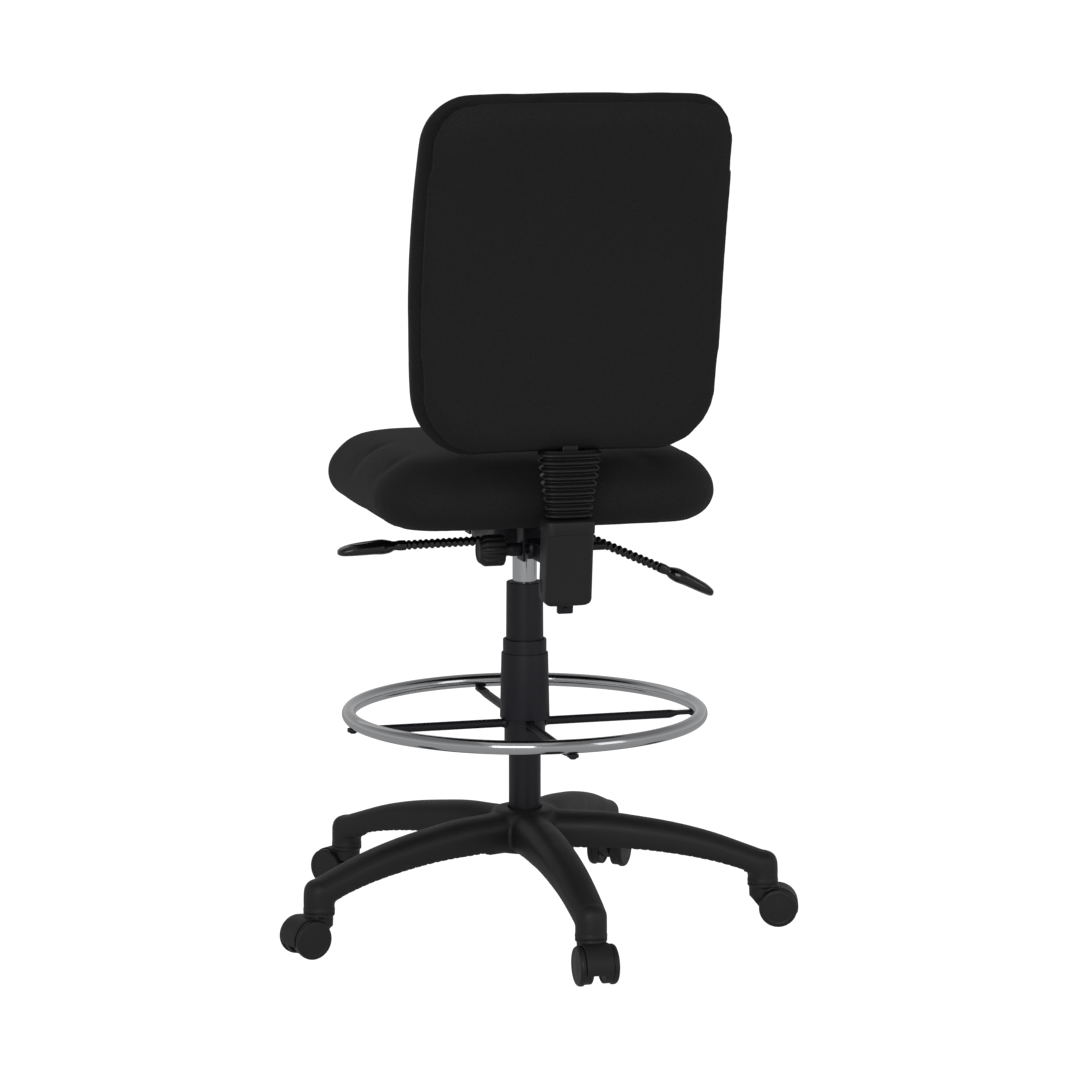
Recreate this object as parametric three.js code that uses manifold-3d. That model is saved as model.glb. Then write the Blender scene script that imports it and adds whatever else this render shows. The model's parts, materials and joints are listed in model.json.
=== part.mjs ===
// Drafting chair: five-arm base on twin-wheel casters, gas lift with a height-set foot ring,
// tilt mechanism with two paddle levers, and an upholstered seat and back.
// Millimetres, +Z up, the sitter looks along -Y, +X is the sitter's left.
// Pieces are drawn about the column axis; the finished chair is then moved along Y so that
// the origin is the middle of its footprint, on the floor.

import * as THREE from 'three';
import Module from 'manifold-3d';
import { mergeVertices } from 'three/addons/utils/BufferGeometryUtils.js';

const wasm = await Module();
wasm.setup();

// ---------------------------------------------------------------- clearances

const fit = 0.3; // between touching pieces
const sleeveFit = 0.5; // between telescoping covers
const padFit = 1.2; // between the curved back board and its pads
const cutMargin = 5; // how far a cutting shape runs past what it cuts

// ---------------------------------------------------------------- casters

const casterCount = 5;
const wheelRadius = 25;
const wheelWidth = 18;
const wheelGap = 15; // between the two wheels
const wheelFacets = 16;
const treadStep = 1.7; // the part of the wheel under the hood is this much smaller
const flangeWidth = 7.6; // the part of the wheel outside the hood
const axleRadius = 3;
const axleInWheel = 12;
const trail = 20; // wheel axle to swivel axis
const hoodThickness = 2.2;
const hoodProud = 1.5; // hood outside over the wheel rim
const neckRadius = 18;
const neckLow = wheelRadius + 11;
const collarHeight = 4.7;
const stemRadius = 5.5;
const stemPinRadius = 4;
const stemHeight = 23; // in the base arm
const stemPinDepth = 22; // in the housing

// ---------------------------------------------------------------- base

const socketCircle = 310; // column axis to caster stem
const socketRadius = 19.75;
const socketHeight = 18.5;
const casterHeadroom = 4; // caster hood to the underside of its socket
const socketLow = 2 * wheelRadius + hoodProud + casterHeadroom;
const hubRadius = 46;
const hubTop = 152.5;
const hubLow = 97.5;
const armWall = 3.5;

// ---------------------------------------------------------------- column and gas lift

const tubeRadius = 20.8;
const tubeWall = 2;
const tubeLow = hubLow;
const tubeTop = 405;
const tubeFloor = 3;
const cylinderRadius = 15.8;
const cylinderWall = 4;
const cylinderLow = 205;
const cylinderCap = 12;
const taperTipRadius = 13.8;
const valvePinRadius = 4;
const rodRadius = 5;
const rodEndRadius = 4;
const pistonTop = 404;
const pistonHeight = 12;
const bushLength = 70;
const bushFlange = 3;
const bearingHeight = 6.3;
const clipHeight = 3.5;
const clipRadius = 9;

// ---------------------------------------------------------------- telescoping covers

const coverWall = 3.2;
const coverUpperLow = 332;
const coverUpperTop = 449.5;
const coverTaper = 0.85; // how much narrower the top of the upper cover is
const coverMiddleLow = 301.5;
const coverMiddleTop = 374.5;
const coverLowerHeight = 85.7;
const coverLowerWall = 3.4;
const coverLowerTaper = 2;

// ---------------------------------------------------------------- foot ring

const ringRadius = 228;
const ringTubeRadius = 9;
const ringTubeWall = 1.5;
const ringHeight = 277.5;
const ringHubLow = 230.5;
const ringHubHeight = 40;
const ringHubWall = 2.9;
const colletWall = 2.9;
const colletSlit = 2;
const spokeCount = 4;
const spokeRadius = 5.6;
const spokeTabWidth = 14;
const spokeTabThickness = 5;
const spokeTabLength = 34;
const ringScrewRadius = 2.5;
const ringScrewHeadRadius = 5;
const ringScrewHeadHeight = 2.8;

// ---------------------------------------------------------------- mechanism

const housingHalfWidth = 50;
const housingFront = -90;
const housingRear = 45;
const housingLow = 493;
const housingTop = 531.5;
const housingCorner = 12;
const liftBossRadius = 24;
const liftBossLow = 485.5;
const taperTop = 521;
const tiltPinY = -70;
const tiltPinZ = 515;
const tiltPinRadius = 5;
const earThickness = 3.2;
const earGap = 5.5; // housing side to seat plate ear
const seatPlateHalfWidth = 80;
const seatPlateFront = -120;
const seatPlateRear = 125;
const seatPlateLow = 540.5;
const seatPlateThickness = 3;

const pivotY = 100;
const pivotZ = 507;
const pivotRadius = 5.3;
const pivotStub = -78; // right-hand end of the shaft
const pivotBushRadius = 8.5;
const knobStart = 55;
const knobLength = 33;
const knobRadius = 20;
const knobFlutes = 12;
const knobStudRadius = 4;
const knobStudDepth = 25;

// ---------------------------------------------------------------- levers

const leverY = -12;
const leverRodRadius = 4;
const leverRodInside = 12;
const leverSwing = 10; // degrees that a paddle lifts
const leverSleeveStart = 5;
const ribPitch = 7.8;
const ribCoreRadius = 4.9;
const ribRadius = 6.5;
const paddleHalfWidth = 16;
const paddleHalfThickness = 5.8;
const tiltLever = { name: 'tilt_lever', side: 1, z: 502.5, slope: 1, sleeve: 104, paddle: 90 };
const heightLever = { name: 'height_lever', side: -1, z: 518.5, slope: 24.2, sleeve: 147, paddle: 84 };

// ---------------------------------------------------------------- back carrier

const recline = 6; // degrees, of the upright bar and its bracket
const bracketY = 191.3; // bar centre at the bracket's low end
const bracketZ = 453;
const bracketHeight = 107.5;
const bracketHalfWidth = 30.5;
const bracketHalfDepth = 20;
const capBandHeight = 17;
const capBandProud = 1.2;
const barHalfWidth = 10;
const barHalfDepth = 3.5;
const barBelow = 11; // bar tab under the bracket
const barAbove = 150; // bar over the top of the bracket
const barLength = barBelow + bracketHeight + barAbove;
const armHalfWidth = 20;
const armHalfHeight = 11;
const armBarrelRadius = 13;
const armBarrelHalfWidth = 24;
const bellowsRibs = 9;
const bellowsHeight = 76;
const bellowsLowHalfWidth = 29;
const bellowsTopHalfWidth = 39;
const bellowsHalfDepth = 16;
const bellowsRibDepth = 3.2;

// ---------------------------------------------------------------- back

const backHalfWidth = 200;
const backGap = 79.5; // top of the bracket to the low edge of the back
const backLow = bracketZ + bracketHeight + backGap;
const backHigh = backLow + 443.4;
const backTopCorner = 50;
const backLowCorner = 72;
const backCrown = 7;
const backWaist = 0.05; // share of the width lost this far from the widest height
const backWaistReach = 200;
const backWidest = backLow + 240;
const backFoot = { y: bracketY - 6.3, z: backLow + 40 }; // a point on the middle surface
const backLean = 0.081; // slope of the lower part
const backBendStart = backLow + 160;
const backBendEnd = backLow + 360;
const backBend = 0.00072;
const backFront = -44; // front of the cushion from the middle surface
const backCushionRear = 11;
const backBoardThickness = 8.7;
const backBoardInset = 12;
const backShellInset = 8;
const backShellThickness = 24;

// ---------------------------------------------------------------- seat

const seatHalfWidth = 217;
const seatFront = -253;
const seatRear = 172;
const seatFrontCorner = 85;
const seatRearCorner = 75;
const seatLow = 547.5;
const seatWidest = 577;
const seatTop = 634;
const seatBoardLow = 544;
const seatBoardThickness = 12;
const seatBoardInset = 24;

// ---------------------------------------------------------------- finishes

function finish(color, roughness, metalness = 0) {
  return new THREE.MeshStandardMaterial({ color, roughness, metalness });
}

const finishes = {
  nylon: finish(0x1d1d1e, 0.55),
  tread: finish(0x1a1a1b, 0.6),
  blackSteel: finish(0x1a1a1d, 0.45, 0.6),
  brightSteel: finish(0xb8babd, 0.3, 1),
  chrome: finish(0xd8dadd, 0.12, 1),
  acetal: finish(0x2a2a2c, 0.4),
  coverPlastic: finish(0x1b1b20, 0.5),
  glossPlastic: finish(0x151516, 0.2),
  bootRubber: finish(0x1c1c1d, 0.5),
  fabric: finish(0x1b1b1c, 0.9),
  plywood: finish(0x8a6a45, 0.7),
  backBoard: finish(0x0e0e0f, 0.7),
};

// ---------------------------------------------------------------- solids and joins

function withoutFlatTriangles(index) {
  const kept = [];
  for (let i = 0; i < index.length; i += 3) {
    const [a, b, c] = [index[i], index[i + 1], index[i + 2]];
    if (a !== b && b !== c && c !== a) kept.push(a, b, c);
  }
  return kept;
}

// A closed mesh as a solid that can be joined and cut.
function solid(geometry) {
  const plain = geometry.clone();
  plain.deleteAttribute('normal');
  plain.deleteAttribute('uv');
  const merged = mergeVertices(plain, 1e-4);
  return new wasm.Manifold(
    new wasm.Mesh({
      numProp: 3,
      vertProperties: new Float32Array(merged.attributes.position.array),
      triVerts: new Uint32Array(withoutFlatTriangles(merged.index.array)),
    }),
  );
}

// Joins leave slivers along their seams, which are merged away before the mesh is read back.
const sliver = 0.04;

function geometryOf(manifold) {
  const mesh = manifold.simplify(sliver).getMesh();
  const geometry = new THREE.BufferGeometry();
  geometry.setAttribute('position', new THREE.BufferAttribute(new Float32Array(mesh.vertProperties), 3));
  geometry.setIndex(new THREE.BufferAttribute(new Uint32Array(mesh.triVerts), 1));
  geometry.computeVertexNormals();
  return geometry;
}

function join(...pieces) {
  return pieces.reduce((whole, piece) => whole.add(piece));
}

function cut(body, ...tools) {
  return tools.reduce((rest, tool) => rest.subtract(tool), body);
}

function addPart(parent, name, body, material) {
  const mesh = new THREE.Mesh(geometryOf(body), material);
  mesh.name = name;
  parent.add(mesh);
  return mesh;
}

// ---------------------------------------------------------------- shapes

const radians = THREE.MathUtils.degToRad;

// Radius and height pairs turned about Z.
function turned(profile, segments = 24, start = 0) {
  const points = profile.map(([r, z]) => new THREE.Vector2(r, z));
  return new THREE.LatheGeometry(points, segments, start).rotateX(Math.PI / 2);
}

// A tube or disc between two heights.
function ring(inner, outer, low, high, segments = 24) {
  const corners = [[inner, low], [outer, low], [outer, high], [inner, high]];
  return solid(turned([...corners, corners[0]], segments));
}

function rod(radius, low, high, segments = 24) {
  return solid(turned([[0, low], [radius, low], [radius, high], [0, high]], segments));
}

// The same along X, from x0 to x1, through a point (y, z).
function rodAlongX(radius, x0, x1, y, z, segments = 16) {
  const geometry = turned([[0, x0], [radius, x0], [radius, x1], [0, x1]], segments);
  return solid(geometry.rotateY(Math.PI / 2).translate(0, y, z));
}

// Along Y, from y0 to y1, through a point (x, z).
function rodAlongY(radius, y0, y1, x, z, segments = 24) {
  const points = [[0, y0], [radius, y0], [radius, y1], [0, y1]].map(([r, y]) => new THREE.Vector2(r, y));
  return solid(new THREE.LatheGeometry(points, segments, Math.PI / segments).translate(x, 0, z));
}

function box(x0, x1, y0, y1, z0, z1) {
  const geometry = new THREE.BoxGeometry(x1 - x0, y1 - y0, z1 - z0);
  return solid(geometry.translate((x0 + x1) / 2, (y0 + y1) / 2, (z0 + z1) / 2));
}

function polygon(corners) {
  return new THREE.Shape(corners.map(([x, y]) => new THREE.Vector2(x, y)));
}

// A plan outline raised from low to high.
function raised(shape, low, high, curveSegments = 6) {
  const options = { depth: high - low, bevelEnabled: false, curveSegments };
  return solid(new THREE.ExtrudeGeometry(shape, options).translate(0, 0, low));
}

// An outline in the X-Z plane carried along Y, both ways from the middle.
function acrossY(shape, halfWidth, curveSegments = 8) {
  const options = { depth: 2 * halfWidth, bevelEnabled: false, curveSegments };
  const geometry = new THREE.ExtrudeGeometry(shape, options);
  return solid(geometry.rotateX(Math.PI / 2).translate(0, halfWidth, 0));
}

// An outline in the Y-Z plane carried along X, both ways from the middle.
function acrossX(shape, halfWidth, curveSegments = 8) {
  const options = { depth: 2 * halfWidth, bevelEnabled: false, curveSegments };
  const geometry = new THREE.ExtrudeGeometry(shape, options).translate(0, 0, -halfWidth);
  return solid(geometry.rotateX(Math.PI / 2).rotateZ(Math.PI / 2));
}

// A rounded rectangle with its own corner radii at the low and the high end of its second axis.
function roundedOutline(halfWidth, low, high, lowCorner, highCorner) {
  const shape = new THREE.Shape();
  shape.moveTo(0, low);
  shape.lineTo(halfWidth - lowCorner, low);
  shape.absarc(halfWidth - lowCorner, low + lowCorner, lowCorner, -Math.PI / 2, 0);
  shape.lineTo(halfWidth, high - highCorner);
  shape.absarc(halfWidth - highCorner, high - highCorner, highCorner, 0, Math.PI / 2);
  shape.lineTo(-halfWidth + highCorner, high);
  shape.absarc(-halfWidth + highCorner, high - highCorner, highCorner, Math.PI / 2, Math.PI);
  shape.lineTo(-halfWidth, low + lowCorner);
  shape.absarc(-halfWidth + lowCorner, low + lowCorner, lowCorner, Math.PI, 1.5 * Math.PI);
  shape.closePath();
  return shape;
}

// Closed rings of equal count, skinned one to the next and capped at both ends.
function loft(rings) {
  const count = rings[0].length;
  const positions = [];
  const index = [];
  for (const points of rings) {
    for (const p of points) positions.push(p.x, p.y, p.z);
  }
  for (let k = 0; k + 1 < rings.length; k++) {
    for (let i = 0; i < count; i++) {
      const a = k * count + i;
      const b = k * count + ((i + 1) % count);
      index.push(a, b, b + count, a, b + count, a + count);
    }
  }
  addCap(positions, index, rings[0], 0, true);
  addCap(positions, index, rings.at(-1), (rings.length - 1) * count, false);
  const geometry = new THREE.BufferGeometry();
  geometry.setAttribute('position', new THREE.Float32BufferAttribute(positions, 3));
  geometry.setIndex(index);
  return solid(geometry);
}

// A fan from the middle of an end ring.
function addCap(positions, index, points, first, reversed) {
  const middle = points.reduce((sum, p) => sum.add(p), new THREE.Vector3()).divideScalar(points.length);
  const centre = positions.length / 3;
  positions.push(middle.x, middle.y, middle.z);
  for (let i = 0; i < points.length; i++) {
    const a = first + i;
    const b = first + ((i + 1) % points.length);
    index.push(...(reversed ? [centre, b, a] : [centre, a, b]));
  }
}

// A rounded-square ring: the power rounds it from an ellipse (1) towards a rectangle (0).
function squareRing(halfWidth, halfHeight, count, power, place) {
  const soften = (v) => Math.sign(v) * Math.abs(v) ** power;
  return Array.from({ length: count }, (_, i) => {
    const angle = ((i + 0.5) / count) * 2 * Math.PI;
    return place(halfWidth * soften(Math.cos(angle)), halfHeight * soften(Math.sin(angle)));
  });
}

// Straight lines between named stations: the value at a place along them.
function along(stations, at) {
  const next = Math.max(1, stations.findIndex(([place]) => place >= at));
  const [[x0, y0], [x1, y1]] = [stations[next - 1], stations[next]];
  return THREE.MathUtils.mapLinear(at, x0, x1, y0, y1);
}

// ---------------------------------------------------------------- base

// Distance from the column axis, then the height of the arm's top and of its underside.
const armEndRadius = socketRadius - 0.6; // the arm's rounded end, just inside its socket boss
const armEnd = socketCircle + armEndRadius;
const armTops = [
  [20, hubTop - 2], [98, 146.5], [194, 132.5], [socketCircle - 21, socketLow + 48],
  [socketCircle, socketLow + 41], [armEnd - 8, socketLow + 34], [armEnd - 0.8, socketLow + 16],
];
const armLows = [
  [20, hubLow - 1], [146, hubLow - 1], [241, 82.5], [socketCircle - 16, socketLow + 10.5],
  [socketCircle, socketLow + 6.5], [armEnd - 0.8, socketLow + 4.5],
];
const armHalfWidths = [[20, 28], [60, 27.5], [180, 23], [socketCircle, armEndRadius]];

function armHalfWidthAt(r) {
  if (r <= socketCircle) return along(armHalfWidths, r);
  return Math.sqrt(armEndRadius ** 2 - (r - socketCircle) ** 2);
}

function armSection(r, wall, count) {
  const top = along(armTops, r) - wall;
  const low = wall > 0 ? along(armLows, r) - 20 : along(armLows, r);
  const half = armHalfWidthAt(r) - wall;
  const middle = (top + low) / 2;
  return squareRing(half, (top - low) / 2, count, 0.6, (u, v) => new THREE.Vector3(r, u, middle + v));
}

function baseArm() {
  const outer = [20, 98, 146, 194, 241, socketCircle - 21, socketCircle];
  const end = [armEnd - 10, armEnd - 4, armEnd - 0.8];
  return loft([...outer, ...end].map((r) => armSection(r, 0, 12)));
}

function armHollow() {
  const stations = [62, 120, 194, 241, socketCircle - socketRadius - 4];
  return loft(stations.map((r) => armSection(r, armWall, 8)));
}

function casterAngle(k) {
  return Math.PI / 2 + (k * 2 * Math.PI) / casterCount;
}

function turnedTo(body, k) {
  return body.rotate([0, 0, THREE.MathUtils.radToDeg(casterAngle(k))]);
}

function base() {
  const hub = solid(turned([
    [0, hubLow], [hubRadius, hubLow], [hubRadius, hubTop - 10], [hubRadius - 8, hubTop], [0, hubTop],
  ], 20));
  const socket = rod(socketRadius, socketLow, socketLow + socketHeight, 14).translate([socketCircle, 0, 0]);
  const arm = join(baseArm(), socket);
  const bore = rod(stemRadius + fit, socketLow - cutMargin, socketLow + stemHeight + 2, 10);
  const arms = [];
  const hollows = [];
  for (let k = 0; k < casterCount; k++) {
    arms.push(turnedTo(arm, k));
    hollows.push(turnedTo(armHollow(), k), turnedTo(bore.translate([socketCircle, 0, 0]), k));
  }
  const columnBore = rod(tubeRadius + fit, hubLow - cutMargin, hubTop + cutMargin);
  return cut(join(hub, ...arms), ...hollows, columnBore);
}

// ---------------------------------------------------------------- casters

// Drawn with the swivel axis on Z, the floor at 0, and the wheel axle at +X = trail.
const hoodRadius = wheelRadius + hoodProud;
const treadRadius = wheelRadius - treadStep;
const wheelInner = wheelGap / 2;
const wheelOuter = wheelInner + wheelWidth;
const hoodHalfWidth = wheelOuter - flangeWidth - fit;
const webHalfWidth = wheelInner - 2 * fit;
const corner = 1 / Math.cos(Math.PI / wheelFacets); // facet distance to corner distance

function casterStem() {
  const seat = socketLow + fit;
  return solid(turned([
    [0, socketLow - stemPinDepth], [stemPinRadius, socketLow - stemPinDepth], [stemPinRadius, seat],
    [stemRadius, seat], [stemRadius, seat + stemHeight - 2], [stemRadius - 1, seat + stemHeight],
    [0, seat + stemHeight],
  ], 10));
}

function hoodPoint(degrees, radius) {
  const angle = radians(degrees);
  return [trail + radius * Math.cos(angle), wheelRadius + radius * Math.sin(angle)];
}

const hoodRange = [-17, 125]; // degrees up from the outward horizontal

function hoodOutline() {
  const [from, to] = hoodRange.map(radians);
  const shape = new THREE.Shape();
  shape.absarc(trail, wheelRadius, hoodRadius, from, to, false);
  shape.absarc(trail, wheelRadius, hoodRadius - hoodThickness, to, from, true);
  shape.closePath();
  return shape;
}

function webOutline() {
  const shape = new THREE.Shape();
  shape.absarc(trail, wheelRadius, hoodRadius, ...hoodRange.map(radians), false);
  shape.lineTo(-neckRadius + 1, hoodPoint(hoodRange[1], hoodRadius)[1]);
  shape.lineTo(-neckRadius + 1, neckLow + 1);
  shape.lineTo(-4, wheelRadius - 3);
  shape.lineTo(trail - 12, wheelRadius - 12);
  shape.closePath();
  return shape;
}

function casterHousing() {
  const neck = solid(turned([
    [0, neckLow], [neckRadius, neckLow], [neckRadius, socketLow - collarHeight],
    [socketRadius, socketLow - collarHeight], [socketRadius, socketLow - fit], [0, socketLow - fit],
  ], 14));
  const across = (radius, y0, y1) => rodAlongY(radius, y0, y1, trail, wheelRadius, wheelFacets);
  const treadRoom = hoodRadius - hoodThickness;
  const flangeRoom = wheelRadius * corner + 2 * fit;
  const pockets = [1, -1].flatMap((side) => {
    const inner = [side * webHalfWidth, side * (wheelOuter + cutMargin)].sort((a, b) => a - b);
    const outer = [side * hoodHalfWidth, side * (wheelOuter + cutMargin)].sort((a, b) => a - b);
    return [across(treadRoom, ...inner), across(flangeRoom, ...outer)];
  });
  const web = acrossY(webOutline(), webHalfWidth, 8);
  const hood = acrossY(hoodOutline(), hoodHalfWidth, 8);
  const pinBore = rod(stemPinRadius + fit, socketLow - stemPinDepth - 2 * fit, socketLow + cutMargin, 10);
  const axleBore = rodAlongY(axleRadius + fit, -wheelInner, wheelInner, trail, wheelRadius, 12);
  return cut(join(cut(neck, ...pockets), hood, web), pinBore, axleBore);
}

function casterAxle() {
  const half = wheelInner + axleInWheel;
  return rodAlongY(axleRadius, -half, half, trail, wheelRadius, 12);
}

// Turned about Y with a flat facet straight down, so that it stands on the floor.
function casterWheel() {
  const bore = axleRadius + fit;
  const boreEnd = wheelInner + axleInWheel + fit;
  const step = wheelOuter - flangeWidth;
  const profile = [
    [0, boreEnd], [bore, boreEnd], [bore, wheelInner], [treadRadius * corner, wheelInner],
    [treadRadius * corner, step], [wheelRadius * corner, step], [wheelRadius * corner, wheelOuter - 3],
    [wheelRadius - 3.5, wheelOuter], [0, wheelOuter],
  ];
  const points = profile.map(([r, y]) => new THREE.Vector2(r, y));
  const start = Math.PI / wheelFacets;
  return solid(new THREE.LatheGeometry(points, wheelFacets, start));
}

function addCaster(parent, k) {
  const caster = new THREE.Group();
  const angle = casterAngle(k);
  caster.position.set(socketCircle * Math.cos(angle), socketCircle * Math.sin(angle), 0);
  caster.rotation.z = angle;
  parent.add(caster);
  const label = k + 1;
  addPart(caster, `caster_stem_${label}`, casterStem(), finishes.brightSteel);
  addPart(caster, `caster_housing_${label}`, casterHousing(), finishes.nylon);
  addPart(caster, `caster_axle_${label}`, casterAxle(), finishes.brightSteel);
  const left = addPart(caster, `wheel_left_${label}`, casterWheel(), finishes.tread);
  left.position.set(trail, 0, wheelRadius);
  const right = addPart(caster, `wheel_right_${label}`, casterWheel(), finishes.tread);
  right.position.set(trail, 0, wheelRadius);
  right.rotation.z = Math.PI;
}

// ---------------------------------------------------------------- column and gas lift

function columnTube() {
  const inner = tubeRadius - tubeWall;
  const hole = clipRadius - 3;
  const profile = [
    [hole, tubeLow], [tubeRadius, tubeLow], [tubeRadius, tubeTop], [inner, tubeTop],
    [inner, tubeLow + tubeFloor], [hole, tubeLow + tubeFloor], [hole, tubeLow],
  ];
  return solid(turned(profile));
}

function guideBush() {
  const inner = cylinderRadius + fit;
  const outer = tubeRadius - tubeWall - fit;
  const seat = tubeTop + fit;
  const profile = [
    [inner, tubeTop - bushLength], [outer, tubeTop - bushLength], [outer, seat], [tubeRadius, seat],
    [tubeRadius, seat + bushFlange], [inner, seat + bushFlange], [inner, tubeTop - bushLength],
  ];
  return solid(turned(profile));
}

const bearingLow = tubeLow + tubeFloor + fit;

function thrustBearing() {
  return ring(rodEndRadius + fit, tubeRadius - tubeWall - 4, bearingLow, bearingLow + bearingHeight, 16);
}

function retainingClip() {
  return ring(rodEndRadius + fit, clipRadius, tubeLow - fit - clipHeight, tubeLow - fit, 16);
}

function pistonRod() {
  const shoulder = bearingLow + bearingHeight + fit;
  const end = tubeLow - clipHeight - 3;
  const head = cylinderRadius - cylinderWall - fit;
  const profile = [
    [0, end], [rodEndRadius, end], [rodEndRadius, shoulder], [rodRadius, shoulder],
    [rodRadius, pistonTop - pistonHeight], [head, pistonTop - pistonHeight], [head, pistonTop], [0, pistonTop],
  ];
  return solid(turned(profile, 16));
}

function gasCylinder() {
  const inner = cylinderRadius - cylinderWall;
  const hole = rodRadius + fit;
  const chamberTop = taperTop - 16;
  const profile = [
    [0, chamberTop], [inner, chamberTop], [inner, cylinderLow + cylinderCap], [hole, cylinderLow + cylinderCap],
    [hole, cylinderLow], [cylinderRadius, cylinderLow], [cylinderRadius, liftBossLow],
    [taperTipRadius, taperTop], [valvePinRadius, taperTop], [valvePinRadius, taperTop + 5], [0, taperTop + 5],
  ];
  return solid(turned(profile));
}

const upperInner = tubeRadius + fit;
const upperOuter = upperInner + coverWall + 0.2;
const middleInner = upperOuter + sleeveFit;
const middleOuter = middleInner + coverWall + 0.2;
const lowerInner = middleOuter + sleeveFit;
const lowerOuter = lowerInner + coverLowerWall;

function coverUpper() {
  const ceiling = coverUpperTop - 3;
  const hole = cylinderRadius + sleeveFit;
  const profile = [
    [upperInner, coverUpperLow], [upperOuter, coverUpperLow], [upperOuter - coverTaper, ceiling],
    [upperOuter - coverTaper - 1, coverUpperTop], [hole, coverUpperTop], [hole, ceiling],
    [upperInner, ceiling], [upperInner, coverUpperLow],
  ];
  return solid(turned(profile));
}

function coverMiddle() {
  const profile = [
    [middleInner, coverMiddleLow], [middleOuter, coverMiddleLow], [middleOuter, coverMiddleTop - 1.5],
    [middleOuter - 1, coverMiddleTop], [middleInner, coverMiddleTop], [middleInner, coverMiddleLow],
  ];
  return solid(turned(profile));
}

function coverLower() {
  const low = ringHubLow + ringHubHeight + fit;
  const top = low + coverLowerHeight;
  const profile = [
    [lowerInner, low], [lowerOuter, low], [lowerOuter - coverLowerTaper, top], [lowerInner, top],
    [lowerInner, low],
  ];
  return solid(turned(profile));
}

// ---------------------------------------------------------------- foot ring

const colletInner = tubeRadius + fit;
const colletOuter = colletInner + colletWall;
const ringHubInner = colletOuter + fit;
const ringHubOuter = ringHubInner + ringHubWall;
const ringLow = ringHeight - ringTubeRadius;
const spokeHeight = ringLow - 4;

function aroundSpokes(body) {
  const turns = Array.from({ length: spokeCount }, (_, k) => (360 / spokeCount) * k);
  return turns.map((degrees) => body.rotate([0, 0, degrees]));
}

function footRing() {
  const outer = solid(new THREE.TorusGeometry(ringRadius, ringTubeRadius, 8, 36));
  const inner = solid(new THREE.TorusGeometry(ringRadius, ringTubeRadius - ringTubeWall, 4, 36));
  const hole = rod(ringScrewRadius + fit, -ringTubeRadius - cutMargin, 0, 8).translate([ringRadius, 0, 0]);
  return cut(outer, inner, ...aroundSpokes(hole)).translate([0, 0, ringHeight]);
}

function spoke() {
  const tabTop = ringLow - fit;
  const tabLow = tabTop - spokeTabThickness;
  const tabEnd = ringRadius + spokeTabWidth / 2;
  const bar = rodAlongX(spokeRadius, ringHubInner + 1, tabEnd - spokeTabLength, 0, spokeHeight, 12);
  const half = spokeTabWidth / 2;
  const tab = box(tabEnd - spokeTabLength - 8, tabEnd, -half, half, tabLow, tabTop);
  const hole = rod(ringScrewRadius + fit, tabLow - cutMargin, tabTop + cutMargin, 8);
  return cut(join(bar, tab), hole.translate([ringRadius, 0, 0]));
}

function footRingHub() {
  const sleeve = rod(ringHubOuter, ringHubLow, ringHubLow + ringHubHeight);
  const bore = rod(ringHubInner, ringHubLow - cutMargin, ringHubLow + ringHubHeight + cutMargin);
  return cut(join(sleeve, ...aroundSpokes(spoke())), bore);
}

function footRingCollet() {
  const low = ringHubLow + 2;
  const high = ringHubLow + ringHubHeight - 2;
  const slit = box(0, colletOuter + cutMargin, -colletSlit / 2, colletSlit / 2, low - 1, high + 1);
  return cut(ring(colletInner, colletOuter, low, high), slit);
}

function ringScrew() {
  const top = ringLow - fit - spokeTabThickness - fit;
  const low = top - ringScrewHeadHeight;
  const profile = [
    [0, low], [ringScrewHeadRadius - 1.2, low], [ringScrewHeadRadius, low + 1.2], [ringScrewHeadRadius, top],
    [ringScrewRadius, top], [ringScrewRadius, ringHeight - 3], [0, ringHeight - 3],
  ];
  return solid(turned(profile, 10)).translate([ringRadius, 0, 0]);
}

// ---------------------------------------------------------------- mechanism

function mechanismHousing() {
  const plan = roundedOutline(housingHalfWidth, housingFront, housingRear, housingCorner, housingCorner);
  const block = raised(plan, housingLow, housingTop, 4);
  const boss = rod(liftBossRadius, liftBossLow, housingLow + 1);
  const taper = solid(turned([
    [0, liftBossLow - cutMargin], [cylinderRadius + fit, liftBossLow - cutMargin],
    [cylinderRadius + fit, liftBossLow], [taperTipRadius + fit, taperTop + fit],
    [valvePinRadius + fit, taperTop + fit], [valvePinRadius + fit, housingTop + cutMargin],
    [0, housingTop + cutMargin],
  ]));
  const pin = rodAlongX(tiltPinRadius + fit, -100, 100, tiltPinY, tiltPinZ);
  return cut(join(block, boss), taper, pin, leverSlot(tiltLever), leverSlot(heightLever));
}

function leverSlot(lever) {
  const wide = leverRodRadius + 1.5;
  const over = leverRodRadius / Math.cos(radians(lever.slope));
  const above = over + leverRodInside * Math.sin(radians(lever.slope)) + 1;
  const below = leverRodRadius + leverRodInside * Math.sin(radians(leverSwing)) + 1;
  const depth = leverRodInside + 3;
  const [x0, x1] = [housingHalfWidth - depth, housingHalfWidth + cutMargin];
  const slot = box(x0, x1, -wide, wide, lever.z - below, lever.z + above);
  const inside = lever.side > 0 ? slot : slot.rotate([0, 0, 180]);
  return inside.translate([0, leverY, 0]);
}

const earX = housingHalfWidth + earGap;

function tiltPin() {
  const half = earX + earThickness + 4;
  return rodAlongX(tiltPinRadius, -half, half, tiltPinY, tiltPinZ);
}

const rearEarInner = armBarrelHalfWidth + 6;

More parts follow.
